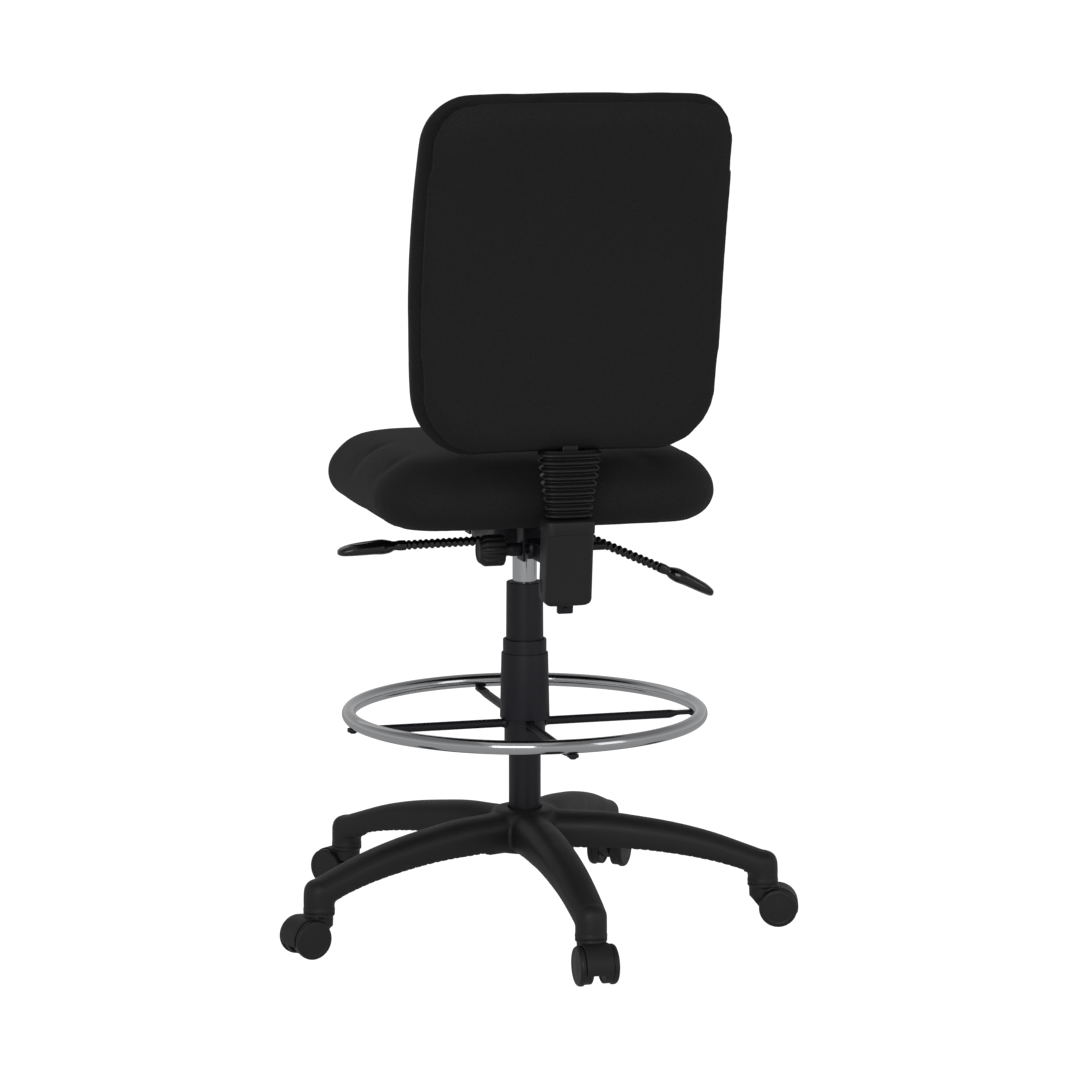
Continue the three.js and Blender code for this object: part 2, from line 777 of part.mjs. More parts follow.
function seatPlate() {
  const plan = roundedOutline(seatPlateHalfWidth, seatPlateFront, seatPlateRear, 20, 20);
  const plate = raised(plan, seatPlateLow, seatPlateLow + seatPlateThickness, 3);
  const ears = [-1, 1].flatMap((side) => [
    ear(side, earX, tiltPinY, tiltPinZ - 11, 12),
    ear(side, rearEarInner, pivotY, pivotZ - 14, 15),
  ]);
  const pinHole = rodAlongX(tiltPinRadius + fit, -100, 100, tiltPinY, tiltPinZ);
  const pivotHole = rodAlongX(pivotRadius + fit, -100, 100, pivotY, pivotZ);
  return cut(join(plate, ...ears), pinHole, pivotHole);
}

function ear(side, inner, y, low, halfLength) {
  const [x0, x1] = [side * inner, side * (inner + earThickness)].sort((a, b) => a - b);
  return box(x0, x1, y - halfLength, y + halfLength, low, seatPlateLow + 1);
}

function pivotShaft() {
  const bushStart = rearEarInner + earThickness + fit;
  const profile = [
    [0, pivotStub], [pivotRadius, pivotStub], [pivotRadius, bushStart], [pivotBushRadius, bushStart],
    [pivotBushRadius, knobStart - fit], [knobStudRadius, knobStart - fit],
    [knobStudRadius, knobStart + knobStudDepth], [0, knobStart + knobStudDepth],
  ];
  return solid(turned(profile, 16).rotateY(Math.PI / 2).translate(0, pivotY, pivotZ));
}

// Scalloped grip with a chamfer at its outer end.
function backKnob() {
  const outline = Array.from({ length: knobFlutes * 4 }, (_, i) => {
    const depth = i % 4 < 2 ? 0 : 1.6;
    const angle = (i / (knobFlutes * 4)) * 2 * Math.PI;
    return [(knobRadius - depth) * Math.cos(angle), (knobRadius - depth) * Math.sin(angle)];
  });
  const grip = raised(polygon(outline), 0, knobLength);
  const envelope = solid(turned([
    [0, 0], [knobRadius - 1, 0], [knobRadius + 1, 2], [knobRadius + 1, knobLength - 7],
    [knobRadius - 5, knobLength], [0, knobLength],
  ], 24));
  const bore = rod(knobStudRadius + fit, -cutMargin, knobStudDepth + fit, 12);
  const knob = cut(grip.intersect(envelope), bore);
  return knob.rotate([0, 90, 0]).translate([knobStart, pivotY, pivotZ]);
}

// ---------------------------------------------------------------- levers

// Drawn along +X from the point where the lever leaves the housing wall.
function leverRod(lever) {
  const end = lever.sleeve + lever.paddle * 0.7;
  return rodAlongX(leverRodRadius, -leverRodInside, end, 0, 0, 8);
}

function leverGrip(lever) {
  const ribs = Math.round((lever.sleeve - leverSleeveStart) / ribPitch);
  const pitch = (lever.sleeve - leverSleeveStart) / ribs;
  const profile = [[0, leverSleeveStart], [ribCoreRadius, leverSleeveStart]];
  for (let k = 0; k < ribs; k++) {
    const start = leverSleeveStart + k * pitch;
    profile.push([ribCoreRadius, start + 0.1 * pitch], [ribRadius, start + 0.5 * pitch]);
  }
  profile.push([ribCoreRadius, lever.sleeve], [ribCoreRadius + 0.6, lever.sleeve + 6], [0, lever.sleeve + 6]);
  const sleeve = solid(turned(profile, 8).rotateY(Math.PI / 2));
  const bore = rodAlongX(leverRodRadius + fit, 0, lever.sleeve + lever.paddle * 0.7 + 2 * fit, 0, 0, 8);
  return cut(join(sleeve, paddle(lever)), bore);
}

// Share of the paddle's length, then half width, half thickness and drop, as shares of their own sizes.
const paddleForm = [
  [0, 0.34, 0.9, 0], [0.12, 0.4, 0.9, 0], [0.27, 0.8, 0.98, 0.02], [0.5, 1, 1, 0.05],
  [0.75, 0.97, 0.92, 0.3], [0.92, 0.72, 0.7, 0.75], [1, 0.3, 0.35, 1],
];

function paddle(lever) {
  return loft(paddleForm.map(([share, wide, thick, drop]) => {
    const x = lever.sleeve + share * lever.paddle;
    const place = (u, v) => new THREE.Vector3(x, u, v - 3 * drop);
    return squareRing(paddleHalfWidth * wide, paddleHalfThickness * thick, 10, 0.8, place);
  }));
}

function addLever(parent, lever) {
  const group = new THREE.Group();
  group.position.set(lever.side * housingHalfWidth, leverY, lever.z);
  group.rotation.set(0, radians(lever.slope), lever.side > 0 ? 0 : Math.PI, 'ZYX');
  parent.add(group);
  addPart(group, `${lever.name}_rod`, leverRod(lever), finishes.blackSteel);
  addPart(group, `${lever.name}_grip`, leverGrip(lever), finishes.glossPlastic);
}

// ---------------------------------------------------------------- back carrier

// Drawn upright with the bar centre on Z, then leaned back about its low end.
function addCarrier(parent) {
  const carrier = new THREE.Group();
  carrier.position.set(0, bracketY, bracketZ);
  carrier.rotation.x = -radians(recline);
  parent.add(carrier);
  addPart(carrier, 'height_bracket', heightBracket(), finishes.nylon);
  addPart(carrier, 'upright_bar', uprightBar(), finishes.blackSteel);
  addPart(carrier, 'bellows', bellows(), finishes.bootRubber);
}

function heightBracket() {
  const [w, d] = [bracketHalfWidth, bracketHalfDepth];
  const ringAt = (z, inset, place = 0) => squareRing(
    w - inset + place, d - inset + place, 20, 0.42, (u, v) => new THREE.Vector3(u, v, z),
  );
  const bandLow = bracketHeight - capBandHeight;
  const body = loft([
    ringAt(0, 5), ringAt(6, 1), ringAt(bandLow, 0), ringAt(bandLow + 0.8, 0, capBandProud),
    ringAt(bracketHeight - 1.5, 0, capBandProud), ringAt(bracketHeight, 2),
  ]);
  const [x, y] = [barHalfWidth + fit, barHalfDepth + fit];
  return cut(body, box(-x, x, -y, y, -cutMargin, bracketHeight + cutMargin));
}

function uprightBar() {
  return box(-barHalfWidth, barHalfWidth, -barHalfDepth, barHalfDepth, -barBelow, barLength - barBelow);
}

function bellows() {
  const low = bracketHeight + 2 * fit;
  const pitch = bellowsHeight / bellowsRibs;
  const ringAt = (k, inset) => {
    const half = THREE.MathUtils.lerp(bellowsLowHalfWidth, bellowsTopHalfWidth, k / bellowsRibs);
    const place = (u, v) => new THREE.Vector3(u, v, low + k * pitch);
    return squareRing(half - inset, bellowsHalfDepth - inset, 16, 0.65, place);
  };
  const rings = [];
  for (let k = 0; k < bellowsRibs; k++) rings.push(ringAt(k + 0.05, bellowsRibDepth), ringAt(k + 0.5, 0));
  rings.push(ringAt(bellowsRibs, bellowsRibDepth));
  const [x, y] = [barHalfWidth + 5, barHalfDepth + 4];
  return cut(loft(rings), box(-x, x, -y, y, low - cutMargin, low + bellowsHeight + cutMargin));
}

// The arm reaches back from the pivot to the bracket's front face.
function backArm() {
  const barrel = rodAlongX(armBarrelRadius, -armBarrelHalfWidth, armBarrelHalfWidth, pivotY, pivotZ, 20);
  const lean = Math.tan(radians(recline));
  const face = (z) => bracketY + (z - bracketZ) * lean - bracketHalfDepth / Math.cos(radians(recline)) - fit;
  const [low, high] = [pivotZ - armHalfHeight, pivotZ + armHalfHeight];
  const outline = polygon([[pivotY, low], [face(low), low], [face(high), high], [pivotY, high]]);
  const bore = rodAlongX(pivotRadius + fit, -100, 100, pivotY, pivotZ);
  return cut(join(barrel, acrossX(outline, armHalfWidth)), bore);
}

// ---------------------------------------------------------------- back

// Y of the middle surface at a height: straight, then bending back, then straight again.
function backSurface(z) {
  const straight = backFoot.y + backLean * (z - backFoot.z);
  const bent = THREE.MathUtils.clamp(z - backBendStart, 0, backBendEnd - backBendStart);
  const beyond = Math.max(0, z - backBendEnd);
  const endSlope = 2 * backBend * (backBendEnd - backBendStart);
  return straight + backBend * bent ** 2 + endSlope * beyond;
}

// The back's outline pulled in by an inset, at an offset from the middle surface.
function backRing(offset, inset, count = 36) {
  const top = backHigh - inset;
  const shape = roundedOutline(
    backHalfWidth - inset, backLow + inset, top,
    Math.max(backLowCorner - inset, 12), Math.max(backTopCorner - inset, 12),
  );
  return shape.getSpacedPoints(count).slice(0, count).map((p) => {
    const share = (p.y - backWidest) / backWaistReach;
    const x = p.x * (1 - backWaist * share ** 2);
    const rise = THREE.MathUtils.clamp((p.y - backWidest) / (top - backWidest), 0, 1);
    const z = p.y - backCrown * rise * (p.x / backHalfWidth) ** 2;
    return new THREE.Vector3(x, backSurface(z) + offset, z);
  });
}

// Offset and inset of each ring from front to rear. Both faces go on inwards as smaller rings,
// so that they follow the middle surface, and pads that meet share the board's ring.
// +Y runs to the rear, so they are skinned in reverse.
const faceInsets = [80, 130, 180];

function backPad(rings) {
  const front = faceInsets.map((inset) => [rings[0][0], inset]).reverse();
  const rear = faceInsets.map((inset) => [rings.at(-1)[0], inset]);
  return loft([...front, ...rings, ...rear].reverse().map(([offset, inset]) => backRing(offset, inset)));
}

function backCushion() {
  return backPad([
    [backFront, 60], [backFront + 4, 22], [backFront + 14, 4], [backFront + 30, 0],
    [backCushionRear - 6, 1], [backCushionRear, 5], [backCushionRear, backBoardInset],
  ]);
}

const backBoardFront = backCushionRear + padFit;
const backShellFront = backBoardFront + backBoardThickness + padFit;

function backBoard() {
  return backPad([[backBoardFront, backBoardInset], [backBoardFront + backBoardThickness, backBoardInset]]);
}

function barPocket() {
  const [x, y] = [barHalfWidth + 1.5, barHalfDepth + 1.5];
  const pocket = box(-x, x, -y, y, 0, barLength - barBelow + 3);
  return pocket.rotate([-recline, 0, 0]).translate([0, bracketY, bracketZ]);
}

function backShell() {
  const rear = backShellFront + backShellThickness;
  const shell = backPad([
    [backShellFront, backBoardInset], [backShellFront, backShellInset],
    [rear - 14, backShellInset + 1], [rear - 6, backShellInset + 8],
    [rear - 2, backShellInset + 24], [rear, backShellInset + 60],
  ]);
  return cut(shell, barPocket());
}

// ---------------------------------------------------------------- seat

function seatRing(z, inset, count = 40) {
  const shape = roundedOutline(
    seatHalfWidth - inset, seatFront + inset, seatRear - inset,
    Math.max(seatFrontCorner - inset, 15), Math.max(seatRearCorner - inset, 15),
  );
  const height = Math.max(0, z - seatWidest) / (seatTop - seatWidest);
  return shape.getSpacedPoints(count).slice(0, count).map((p) => {
    const forward = Math.max(0, -150 - p.y) / 100;
    return new THREE.Vector3(p.x, p.y, z - 14 * height * forward ** 2);
  });
}

function seatBoard() {
  const top = seatBoardLow + seatBoardThickness;
  return loft([seatRing(seatBoardLow, seatBoardInset), seatRing(top, seatBoardInset)]);
}

function seatCushion() {
  const body = loft([
    seatRing(seatLow, 17), seatRing(seatLow + 9, 6), seatRing(seatWidest, 0), seatRing(600, 5),
    seatRing(616, 18), seatRing(626, 42), seatRing(seatTop - 3, 80), seatRing(seatTop, 130),
  ]);
  const room = seatBoardInset - fit - 0.3;
  const pocketTop = seatBoardLow + seatBoardThickness + fit;
  return cut(body, loft([seatRing(seatBoardLow - cutMargin, room), seatRing(pocketTop, room)]));
}

// ---------------------------------------------------------------- the chair

const chair = new THREE.Group();

addPart(chair, 'base', base(), finishes.nylon);
for (let k = 0; k < casterCount; k++) addCaster(chair, k);
addPart(chair, 'column_tube', columnTube(), finishes.blackSteel);
addPart(chair, 'guide_bush', guideBush(), finishes.acetal);
addPart(chair, 'thrust_bearing', thrustBearing(), finishes.brightSteel);
addPart(chair, 'retaining_clip', retainingClip(), finishes.brightSteel);
addPart(chair, 'piston_rod', pistonRod(), finishes.brightSteel);
addPart(chair, 'gas_cylinder', gasCylinder(), finishes.chrome);
addPart(chair, 'cover_upper', coverUpper(), finishes.coverPlastic);
addPart(chair, 'cover_middle', coverMiddle(), finishes.coverPlastic);
addPart(chair, 'cover_lower', coverLower(), finishes.coverPlastic);
addPart(chair, 'foot_ring', footRing(), finishes.chrome);
addPart(chair, 'foot_ring_hub', footRingHub(), finishes.blackSteel);
addPart(chair, 'foot_ring_collet', footRingCollet(), finishes.acetal);
aroundSpokes(ringScrew()).forEach((screw, k) => {
  addPart(chair, `foot_ring_screw_${k + 1}`, screw, finishes.blackSteel);
});
addPart(chair, 'mechanism_housing', mechanismHousing(), finishes.blackSteel);
addPart(chair, 'tilt_pin', tiltPin(), finishes.brightSteel);
addPart(chair, 'seat_plate', seatPlate(), finishes.blackSteel);
addPart(chair, 'pivot_shaft', pivotShaft(), finishes.blackSteel);
addPart(chair, 'back_knob', backKnob(), finishes.nylon);
addLever(chair, tiltLever);
addLever(chair, heightLever);
addPart(chair, 'back_arm', backArm(), finishes.blackSteel);
addCarrier(chair);
addPart(chair, 'back_cushion', backCushion(), finishes.fabric);
addPart(chair, 'back_board', backBoard(), finishes.backBoard);
addPart(chair, 'back_shell', backShell(), finishes.fabric);
addPart(chair, 'seat_board', seatBoard(), finishes.plywood);
addPart(chair, 'seat_cushion', seatCushion(), finishes.fabric);

// The origin goes to the middle of the footprint.
const footprint = new THREE.Box3().setFromObject(chair);
chair.position.y = -(footprint.min.y + footprint.max.y) / 2;

export default chair;
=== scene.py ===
"""Drafting chair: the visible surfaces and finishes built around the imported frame.

Metres, +Z up, the sitter looks along -Y. Pieces stand where the frame's boxes and joints
are; their own outlines are given beside them. Surfaces are grids of rings worked out with
numpy; moulded pieces with blended corners are joined from such grids and remeshed; the
three pads are inflated by a short cloth simulation.
"""
import json
import math

import bpy
import numpy as np
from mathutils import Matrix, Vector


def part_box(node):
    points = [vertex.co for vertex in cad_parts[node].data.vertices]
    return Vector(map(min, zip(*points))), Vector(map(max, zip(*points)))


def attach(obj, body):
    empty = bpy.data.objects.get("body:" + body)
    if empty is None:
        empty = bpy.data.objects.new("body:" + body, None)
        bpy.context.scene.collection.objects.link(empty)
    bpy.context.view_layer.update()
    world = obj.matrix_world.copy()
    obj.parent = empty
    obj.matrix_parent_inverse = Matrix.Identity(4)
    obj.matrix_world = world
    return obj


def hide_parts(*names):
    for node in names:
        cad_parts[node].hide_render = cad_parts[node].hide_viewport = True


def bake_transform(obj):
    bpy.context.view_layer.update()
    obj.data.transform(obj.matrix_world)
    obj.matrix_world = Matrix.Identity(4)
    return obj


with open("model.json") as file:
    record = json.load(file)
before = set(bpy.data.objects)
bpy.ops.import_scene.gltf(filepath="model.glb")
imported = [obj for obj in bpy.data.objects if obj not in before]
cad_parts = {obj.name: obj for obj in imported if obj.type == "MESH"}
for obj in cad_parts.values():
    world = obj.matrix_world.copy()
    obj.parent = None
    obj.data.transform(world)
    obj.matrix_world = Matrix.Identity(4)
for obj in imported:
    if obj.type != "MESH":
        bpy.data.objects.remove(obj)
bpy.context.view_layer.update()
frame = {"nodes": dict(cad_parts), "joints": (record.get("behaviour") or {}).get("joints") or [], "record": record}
scene = bpy.context.scene
MM = 0.001

# Places from the frame


def box(node):
    low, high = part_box(node)
    return np.array(low), np.array(high)


def middle(node):
    low, high = box(node)
    return (low + high) / 2


column = middle("column_tube")
column_y = column[1]
caster_count = 5
joints = {joint["name"]: joint for joint in frame["joints"]}
caster_places = [middle(f"caster_stem_{k + 1}")[:2] for k in range(caster_count)]
caster_angles = [math.atan2(p[1] - column_y, p[0]) for p in caster_places]
socket_circle = math.hypot(caster_places[0][0], caster_places[0][1] - column_y)

# Camera

view_azimuth = math.radians(164.81)
view_distance = 4.818  # from the column axis, along the floor
camera_height = 1.2345
camera_pitch = math.radians(8.636)  # down from level
camera_yaw = math.radians(0.235)  # off the column axis


def add_camera():
    data = bpy.data.cameras.new("camera")
    data.sensor_width = 36
    data.lens = 126.13
    camera = bpy.data.objects.new("camera", data)
    scene.collection.objects.link(camera)
    x = view_distance * math.sin(view_azimuth)
    y = column_y - view_distance * math.cos(view_azimuth)
    camera.location = (x, y, camera_height)
    camera.rotation_euler = (math.pi / 2 - camera_pitch, 0, view_azimuth - camera_yaw)
    scene.camera = camera


add_camera()

# Grids of rings


def oval(count, half_x, half_y, power=1.0):
    """Ring of points: cosine and sine of the turn, each raised to a power that squares the
    corners as it falls from 1 (an ellipse) towards 0 (a rectangle), times the half sizes."""
    turn = (np.arange(count) + 0.5) / count * 2 * np.pi
    c, s = np.cos(turn), np.sin(turn)
    x = half_x * np.sign(c) * np.abs(c) ** power
    y = half_y * np.sign(s) * np.abs(s) ** power
    return np.stack([x, y], 1)


def resampled(points, count):
    """Closed outline walked at equal steps: each new point lies where its share of the total
    length falls on the old sides."""
    closed = np.vstack([points, points[:1]])
    walked = np.concatenate([[0], np.cumsum(np.linalg.norm(np.diff(closed, axis=0), axis=1))])
    at = np.arange(count) / count * walked[-1]
    return np.stack([np.interp(at, walked, closed[:, i]) for i in range(2)], 1)


def rounded_outline(half_width, low, high, low_corner, high_corner, count=160):
    """Rectangle with quarter-circle corners, one radius at its low end and one at its high
    end, from the middle of the low side, as equally spaced points."""
    quarter = np.linspace(0, np.pi / 2, 24)
    corners = []
    for cx, cy, radius, start in (
        (half_width - low_corner, low + low_corner, low_corner, -np.pi / 2),
        (half_width - high_corner, high - high_corner, high_corner, 0),
        (-half_width + high_corner, high - high_corner, high_corner, np.pi / 2),
        (-half_width + low_corner, low + low_corner, low_corner, np.pi),
    ):
        turn = start + quarter
        corners.append(np.stack([cx + radius * np.cos(turn), cy + radius * np.sin(turn)], 1))
    start = np.array([[0, low]])
    return resampled(np.vstack([start, *corners]), count)


def eased(stations, at):
    """Smooth line through (place, value) stations: between two stations the value follows
    the cubic whose end slopes are the mean slopes of their neighbours."""
    stations = np.array(stations, float)
    x, y = stations[:, 0], stations[:, 1:]
    slope = np.gradient(y, x, axis=0)
    at = np.clip(np.asarray(at, float), x[0], x[-1])
    k = np.clip(np.searchsorted(x, at, side="right") - 1, 0, len(x) - 2)
    step = x[k + 1] - x[k]
    t = ((at - x[k]) / step)[:, None]
    step = step[:, None]
    value = (
        (2 * t**3 - 3 * t**2 + 1) * y[k] + (t**3 - 2 * t**2 + t) * step * slope[k]
        + (3 * t**2 - 2 * t**3) * y[k + 1] + (t**3 - t**2) * step * slope[k + 1]
    )
    return value[:, 0] if value.shape[1] == 1 else value


def outward(verts, faces):
    """Whether four-sided faces look outwards: the volume they enclose, summed as pyramids
    from the origin, isn't negative."""
    a, b, c, d = (verts[faces[:, i]] for i in range(4))
    volume = np.einsum("ij,ij->i", a, np.cross(b, c)).sum()
    volume += np.einsum("ij,ij->i", a, np.cross(c, d)).sum()
    return volume >= 0


def skin(rings, loop=False):
    """Closed surface through rings of equal count. Each ring joins the next with quads, and
    a looped row also joins its last ring to its first; otherwise each end closes on a pole
    at the mean of its ring. Returns vertices and a list of faces pointing outwards."""
    rings = np.asarray(rings, float)
    rows, count = rings.shape[:2]
    verts = rings.reshape(-1, 3)
    k = np.arange(rows if loop else rows - 1)[:, None]
    i = np.arange(count)[None, :]
    a, b = k * count + i, k * count + (i + 1) % count
    c, d = ((k + 1) % rows) * count + (i + 1) % count, ((k + 1) % rows) * count + i
    quads = np.stack([a, b, c, d], -1).reshape(-1, 4)
    tris = np.zeros((0, 3), int)
    if not loop:
        verts = np.vstack([verts, rings[0].mean(0), rings[-1].mean(0)])
        i = np.arange(count)
        j = (i + 1) % count
        first, last = len(verts) - 2, len(verts) - 1
        base = (rows - 1) * count
        low = np.stack([np.full(count, first), j, i], 1)
        high = np.stack([np.full(count, last), base + i, base + j], 1)
        tris = np.vstack([low, high])
    sides = np.vstack([quads, np.hstack([tris, tris[:, 2:]])])
    if not outward(verts - verts.mean(0), sides):
        quads, tris = quads[:, ::-1], tris[:, ::-1]
    return verts, quads.tolist() + tris.tolist()


def merged(*shapes):
    """Several shapes as one list of vertices and faces."""
    verts, faces, offset = [], [], 0
    for v, f in shapes:
        verts.append(v)
        faces += [[i + offset for i in face] for face in f]
        offset += len(v)
    return np.vstack(verts), faces


def turned(profile, count=64, loop=False):
    """Radius and height pairs turned about Z; a looped profile closes on itself."""
    profile = np.array(profile, float)
    turn = np.arange(count) / count * 2 * np.pi
    rings = np.stack([
        profile[:, :1] * np.cos(turn)[None], profile[:, :1] * np.sin(turn)[None],
        np.repeat(profile[:, 1:], count, 1),
    ], -1)
    return skin(rings, loop)


def softened(profile, radius, steps=4, loop=False):
    """Profile with each corner replaced by a short curve: the quadratic arc between points
    set back from the corner by the radius, or by 0.45 of the shorter side."""
    profile = [np.array(p, float) for p in profile]
    out, n = [], len(profile)
    t = np.linspace(0, 1, steps + 1)[:, None]
    for i, p in enumerate(profile):
        if not loop and i in (0, n - 1):
            out.append(p[None])
            continue
        before, after = profile[i - 1] - p, profile[(i + 1) % n] - p
        back = min(radius, 0.45 * np.linalg.norm(before), 0.45 * np.linalg.norm(after))
        a, b = p + before / np.linalg.norm(before) * back, p + after / np.linalg.norm(after) * back
        out.append((1 - t) ** 2 * a + 2 * t * (1 - t) * p + t**2 * b)
    return np.vstack(out)


def moved(shape, turn=None, by=(0, 0, 0)):
    """Shape turned by a 3x3 matrix, then moved."""
    verts, faces = shape
    if turn is not None:
        verts = verts @ np.asarray(turn).T
    return verts + np.asarray(by), faces


def about_x(angle):
    c, s = math.cos(angle), math.sin(angle)
    return np.array([[1, 0, 0], [0, c, -s], [0, s, c]])


def about_y(angle):
    c, s = math.cos(angle), math.sin(angle)
    return np.array([[c, 0, s], [0, 1, 0], [-s, 0, c]])


def about_z(angle):
    c, s = math.cos(angle), math.sin(angle)
    return np.array([[c, -s, 0], [s, c, 0], [0, 0, 1]])


z_to_x = about_y(math.pi / 2)
z_to_y = about_x(-math.pi / 2)
z_to_minus_y = about_x(math.pi / 2)

# Pieces


def new_object(name, shape):
    verts, faces = shape
    mesh = bpy.data.meshes.new(name)
    mesh.from_pydata(np.asarray(verts).tolist(), [], faces)
    mesh.update()
    piece = bpy.data.objects.new(name, mesh)
    scene.collection.objects.link(piece)
    return piece


def shade(piece, sharp_angle=40):
    piece.data.shade_smooth()
    piece.data.set_sharp_from_angle(angle=math.radians(sharp_angle))


def finish_piece(piece, material, body, nodes=(), sharp_angle=40):
    """Smooth shading, the material, the body it rides on, and the nodes that it stands for."""
    shade(piece, sharp_angle)
    piece.data.materials.clear()
    piece.data.materials.append(material)
    if body:
        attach(piece, body)
    if nodes:
        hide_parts(*nodes)
    return piece


def add_modifier(piece, kind, **settings):
    modifier = piece.modifiers.new(kind.lower(), kind)
    for name, value in settings.items():
        setattr(modifier, name, value)
    return modifier


def applied(piece):
    """Modifiers worked into the mesh, and none left on the piece."""
    depsgraph = bpy.context.evaluated_depsgraph_get()
    mesh = bpy.data.meshes.new_from_object(piece.evaluated_get(depsgraph))
    piece.modifiers.clear()
    piece.data = mesh
    return piece


def moulded(name, shapes, voxel, smooth_steps, cut_shapes=()):
    """Overlapping closed shapes made one body with blended corners: cuts are taken away, the
    whole is remeshed on a grid of the voxel size, and the steps are smoothed out."""
    piece = new_object(name, merged(*shapes))
    add_modifier(piece, "REMESH", mode="VOXEL", voxel_size=voxel)
    applied(piece)
    if cut_shapes:
        tool = new_object(name + "_cut", merged(*cut_shapes))
        add_modifier(piece, "BOOLEAN", operation="DIFFERENCE", object=tool, solver="EXACT", use_self=True)
        applied(piece)
        bpy.data.objects.remove(tool)
    add_modifier(piece, "SMOOTH", factor=0.5, iterations=smooth_steps)
    return applied(piece)


def shape_of(piece):
    """Vertices and faces of a piece, which is then removed."""
    mesh = piece.data
    verts = np.zeros(len(mesh.vertices) * 3)
    mesh.vertices.foreach_get("co", verts)
    faces = [list(p.vertices) for p in mesh.polygons]
    bpy.data.objects.remove(piece)
    return verts.reshape(-1, 3), faces


# Material nodes


def linear(code):
    """sRGB hex to linear colour with alpha."""
    parts = [int(code[i:i + 2], 16) / 255 for i in (1, 3, 5)]
    return tuple(p / 12.92 if p <= 0.04045 else ((p + 0.055) / 1.055) ** 2.4 for p in parts) + (1.0,)


def add_node(tree, kind, settings=None, inputs=None):
    """A node with its settings; an input is a plain value or another node's output."""
    node = tree.nodes.new(kind)
    for name, value in (settings or {}).items():
        setattr(node, name, value)
    for name, value in (inputs or {}).items():
        if isinstance(value, bpy.types.NodeSocket):
            tree.links.new(value, node.inputs[name])
        else:
            node.inputs[name].default_value = value
    return node


def new_material(name, **surface):
    """A material with one principled shader, whose sockets are set by name."""
    material = bpy.data.materials.new(name)
    material.use_nodes = True
    tree = material.node_tree
    tree.nodes.clear()
    shader = add_node(tree, "ShaderNodeBsdfPrincipled")
    for socket, value in surface.items():
        shader.inputs[socket.replace("_", " ")].default_value = value
    output = add_node(tree, "ShaderNodeOutputMaterial")
    tree.links.new(shader.outputs["BSDF"], output.inputs["Surface"])
    return material, tree, shader


def object_place(tree):
    return add_node(tree, "ShaderNodeTexCoord").outputs["Object"]


def noise(tree, place, size_mm, detail=3.0, roughness=0.55):
    """Noise whose blotches are about the size given."""
    inputs = {"Vector": place, "Scale": 1 / (size_mm * MM), "Detail": detail, "Roughness": roughness}
    return add_node(tree, "ShaderNodeTexNoise", None, inputs).outputs["Fac"]


def ranged(tree, value, low, high):
    """A 0 to 1 value stretched between two others."""
    return add_node(tree, "ShaderNodeMapRange", None, {
        "Value": value, "From Min": 0.25, "From Max": 0.75, "To Min": low, "To Max": high,
    }).outputs["Result"]


def tinted(tree, value, dark, light):
    """Colour between two hex values."""
    node = add_node(tree, "ShaderNodeMix", {"data_type": "RGBA"})
    tree.links.new(value, node.inputs["Factor"])
    node.inputs["A"].default_value = linear(dark)
    node.inputs["B"].default_value = linear(light)
    return node.outputs["Result"]


def bump(tree, shader, height, depth_mm, strength=1.0):
    node = add_node(tree, "ShaderNodeBump", None, {
        "Height": height, "Distance": depth_mm * MM, "Strength": strength,
    })
    tree.links.new(node.outputs["Normal"], shader.inputs["Normal"])


def calc(tree, operation, *values):
    node = add_node(tree, "ShaderNodeMath", {"operation": operation})
    for socket, value in zip(node.inputs, values):
        if isinstance(value, bpy.types.NodeSocket):
            tree.links.new(value, socket)
        else:
            socket.default_value = value
    return node.outputs[0]


# Finishes


def woven_polyester():
    """Crepe-woven polyester upholstery: matt, with a faint halo at grazing angles and a
    small thread pattern. Real threads lie about 0.5 mm apart; here they are 1.3 mm, the
    finest that shows."""
    thread_mm = 1.3
    material, tree, shader = new_material(
        "woven_polyester", IOR=1.5, Sheen_Weight=0.03, Sheen_Roughness=0.45,
    )
    place = object_place(tree)
    split = add_node(tree, "ShaderNodeSeparateXYZ", None, {"Vector": place})
    waves = [
        calc(tree, "SINE", calc(tree, "MULTIPLY", split.outputs[i], math.pi / (thread_mm * MM)))
        for i in range(3)
    ]
    pairs = [calc(tree, "MULTIPLY", waves[i], waves[(i + 1) % 3]) for i in range(3)]
    weave = calc(tree, "ADD", calc(tree, "ADD", pairs[0], pairs[1]), pairs[2])
    fuzz = noise(tree, place, 2.2, 4)
    height = calc(tree, "ADD", calc(tree, "MULTIPLY", weave, 0.5), calc(tree, "MULTIPLY", fuzz, 0.9))
    bump(tree, shader, height, 0.16, 0.7)
    patches = noise(tree, place, 60, 3)
    tree.links.new(tinted(tree, patches, "#1c1c1d", "#202021"), shader.inputs["Base Color"])
    tree.links.new(ranged(tree, fuzz, 0.72, 0.9), shader.inputs["Roughness"])
    return material


def satin_black(name, ior, grain, blotches, colours, shine):
    """A black finish with a grain (its size, noise detail, depth and strength as a bump), and
    broader blotches (size, detail) that lead the colour and the roughness between two ends."""
    material, tree, shader = new_material(name, IOR=ior)
    place = object_place(tree)
    size_mm, detail, depth_mm, strength = grain
    bump(tree, shader, noise(tree, place, size_mm, detail), depth_mm, strength)
    patches = noise(tree, place, *blotches)
    tree.links.new(tinted(tree, patches, *colours), shader.inputs["Base Color"])
    tree.links.new(ranged(tree, patches, *shine), shader.inputs["Roughness"])
    return material


def grained_nylon():
    """Glass-filled nylon from a spark-eroded mould: satin, with a fine even grain of about
    0.9 mm and slightly shinier worn patches."""
    return satin_black("grained_nylon", 1.53, (0.9, 2, 0.05, 0.35), (35, 3),
                       ("#202021", "#262628"), (0.46, 0.56))


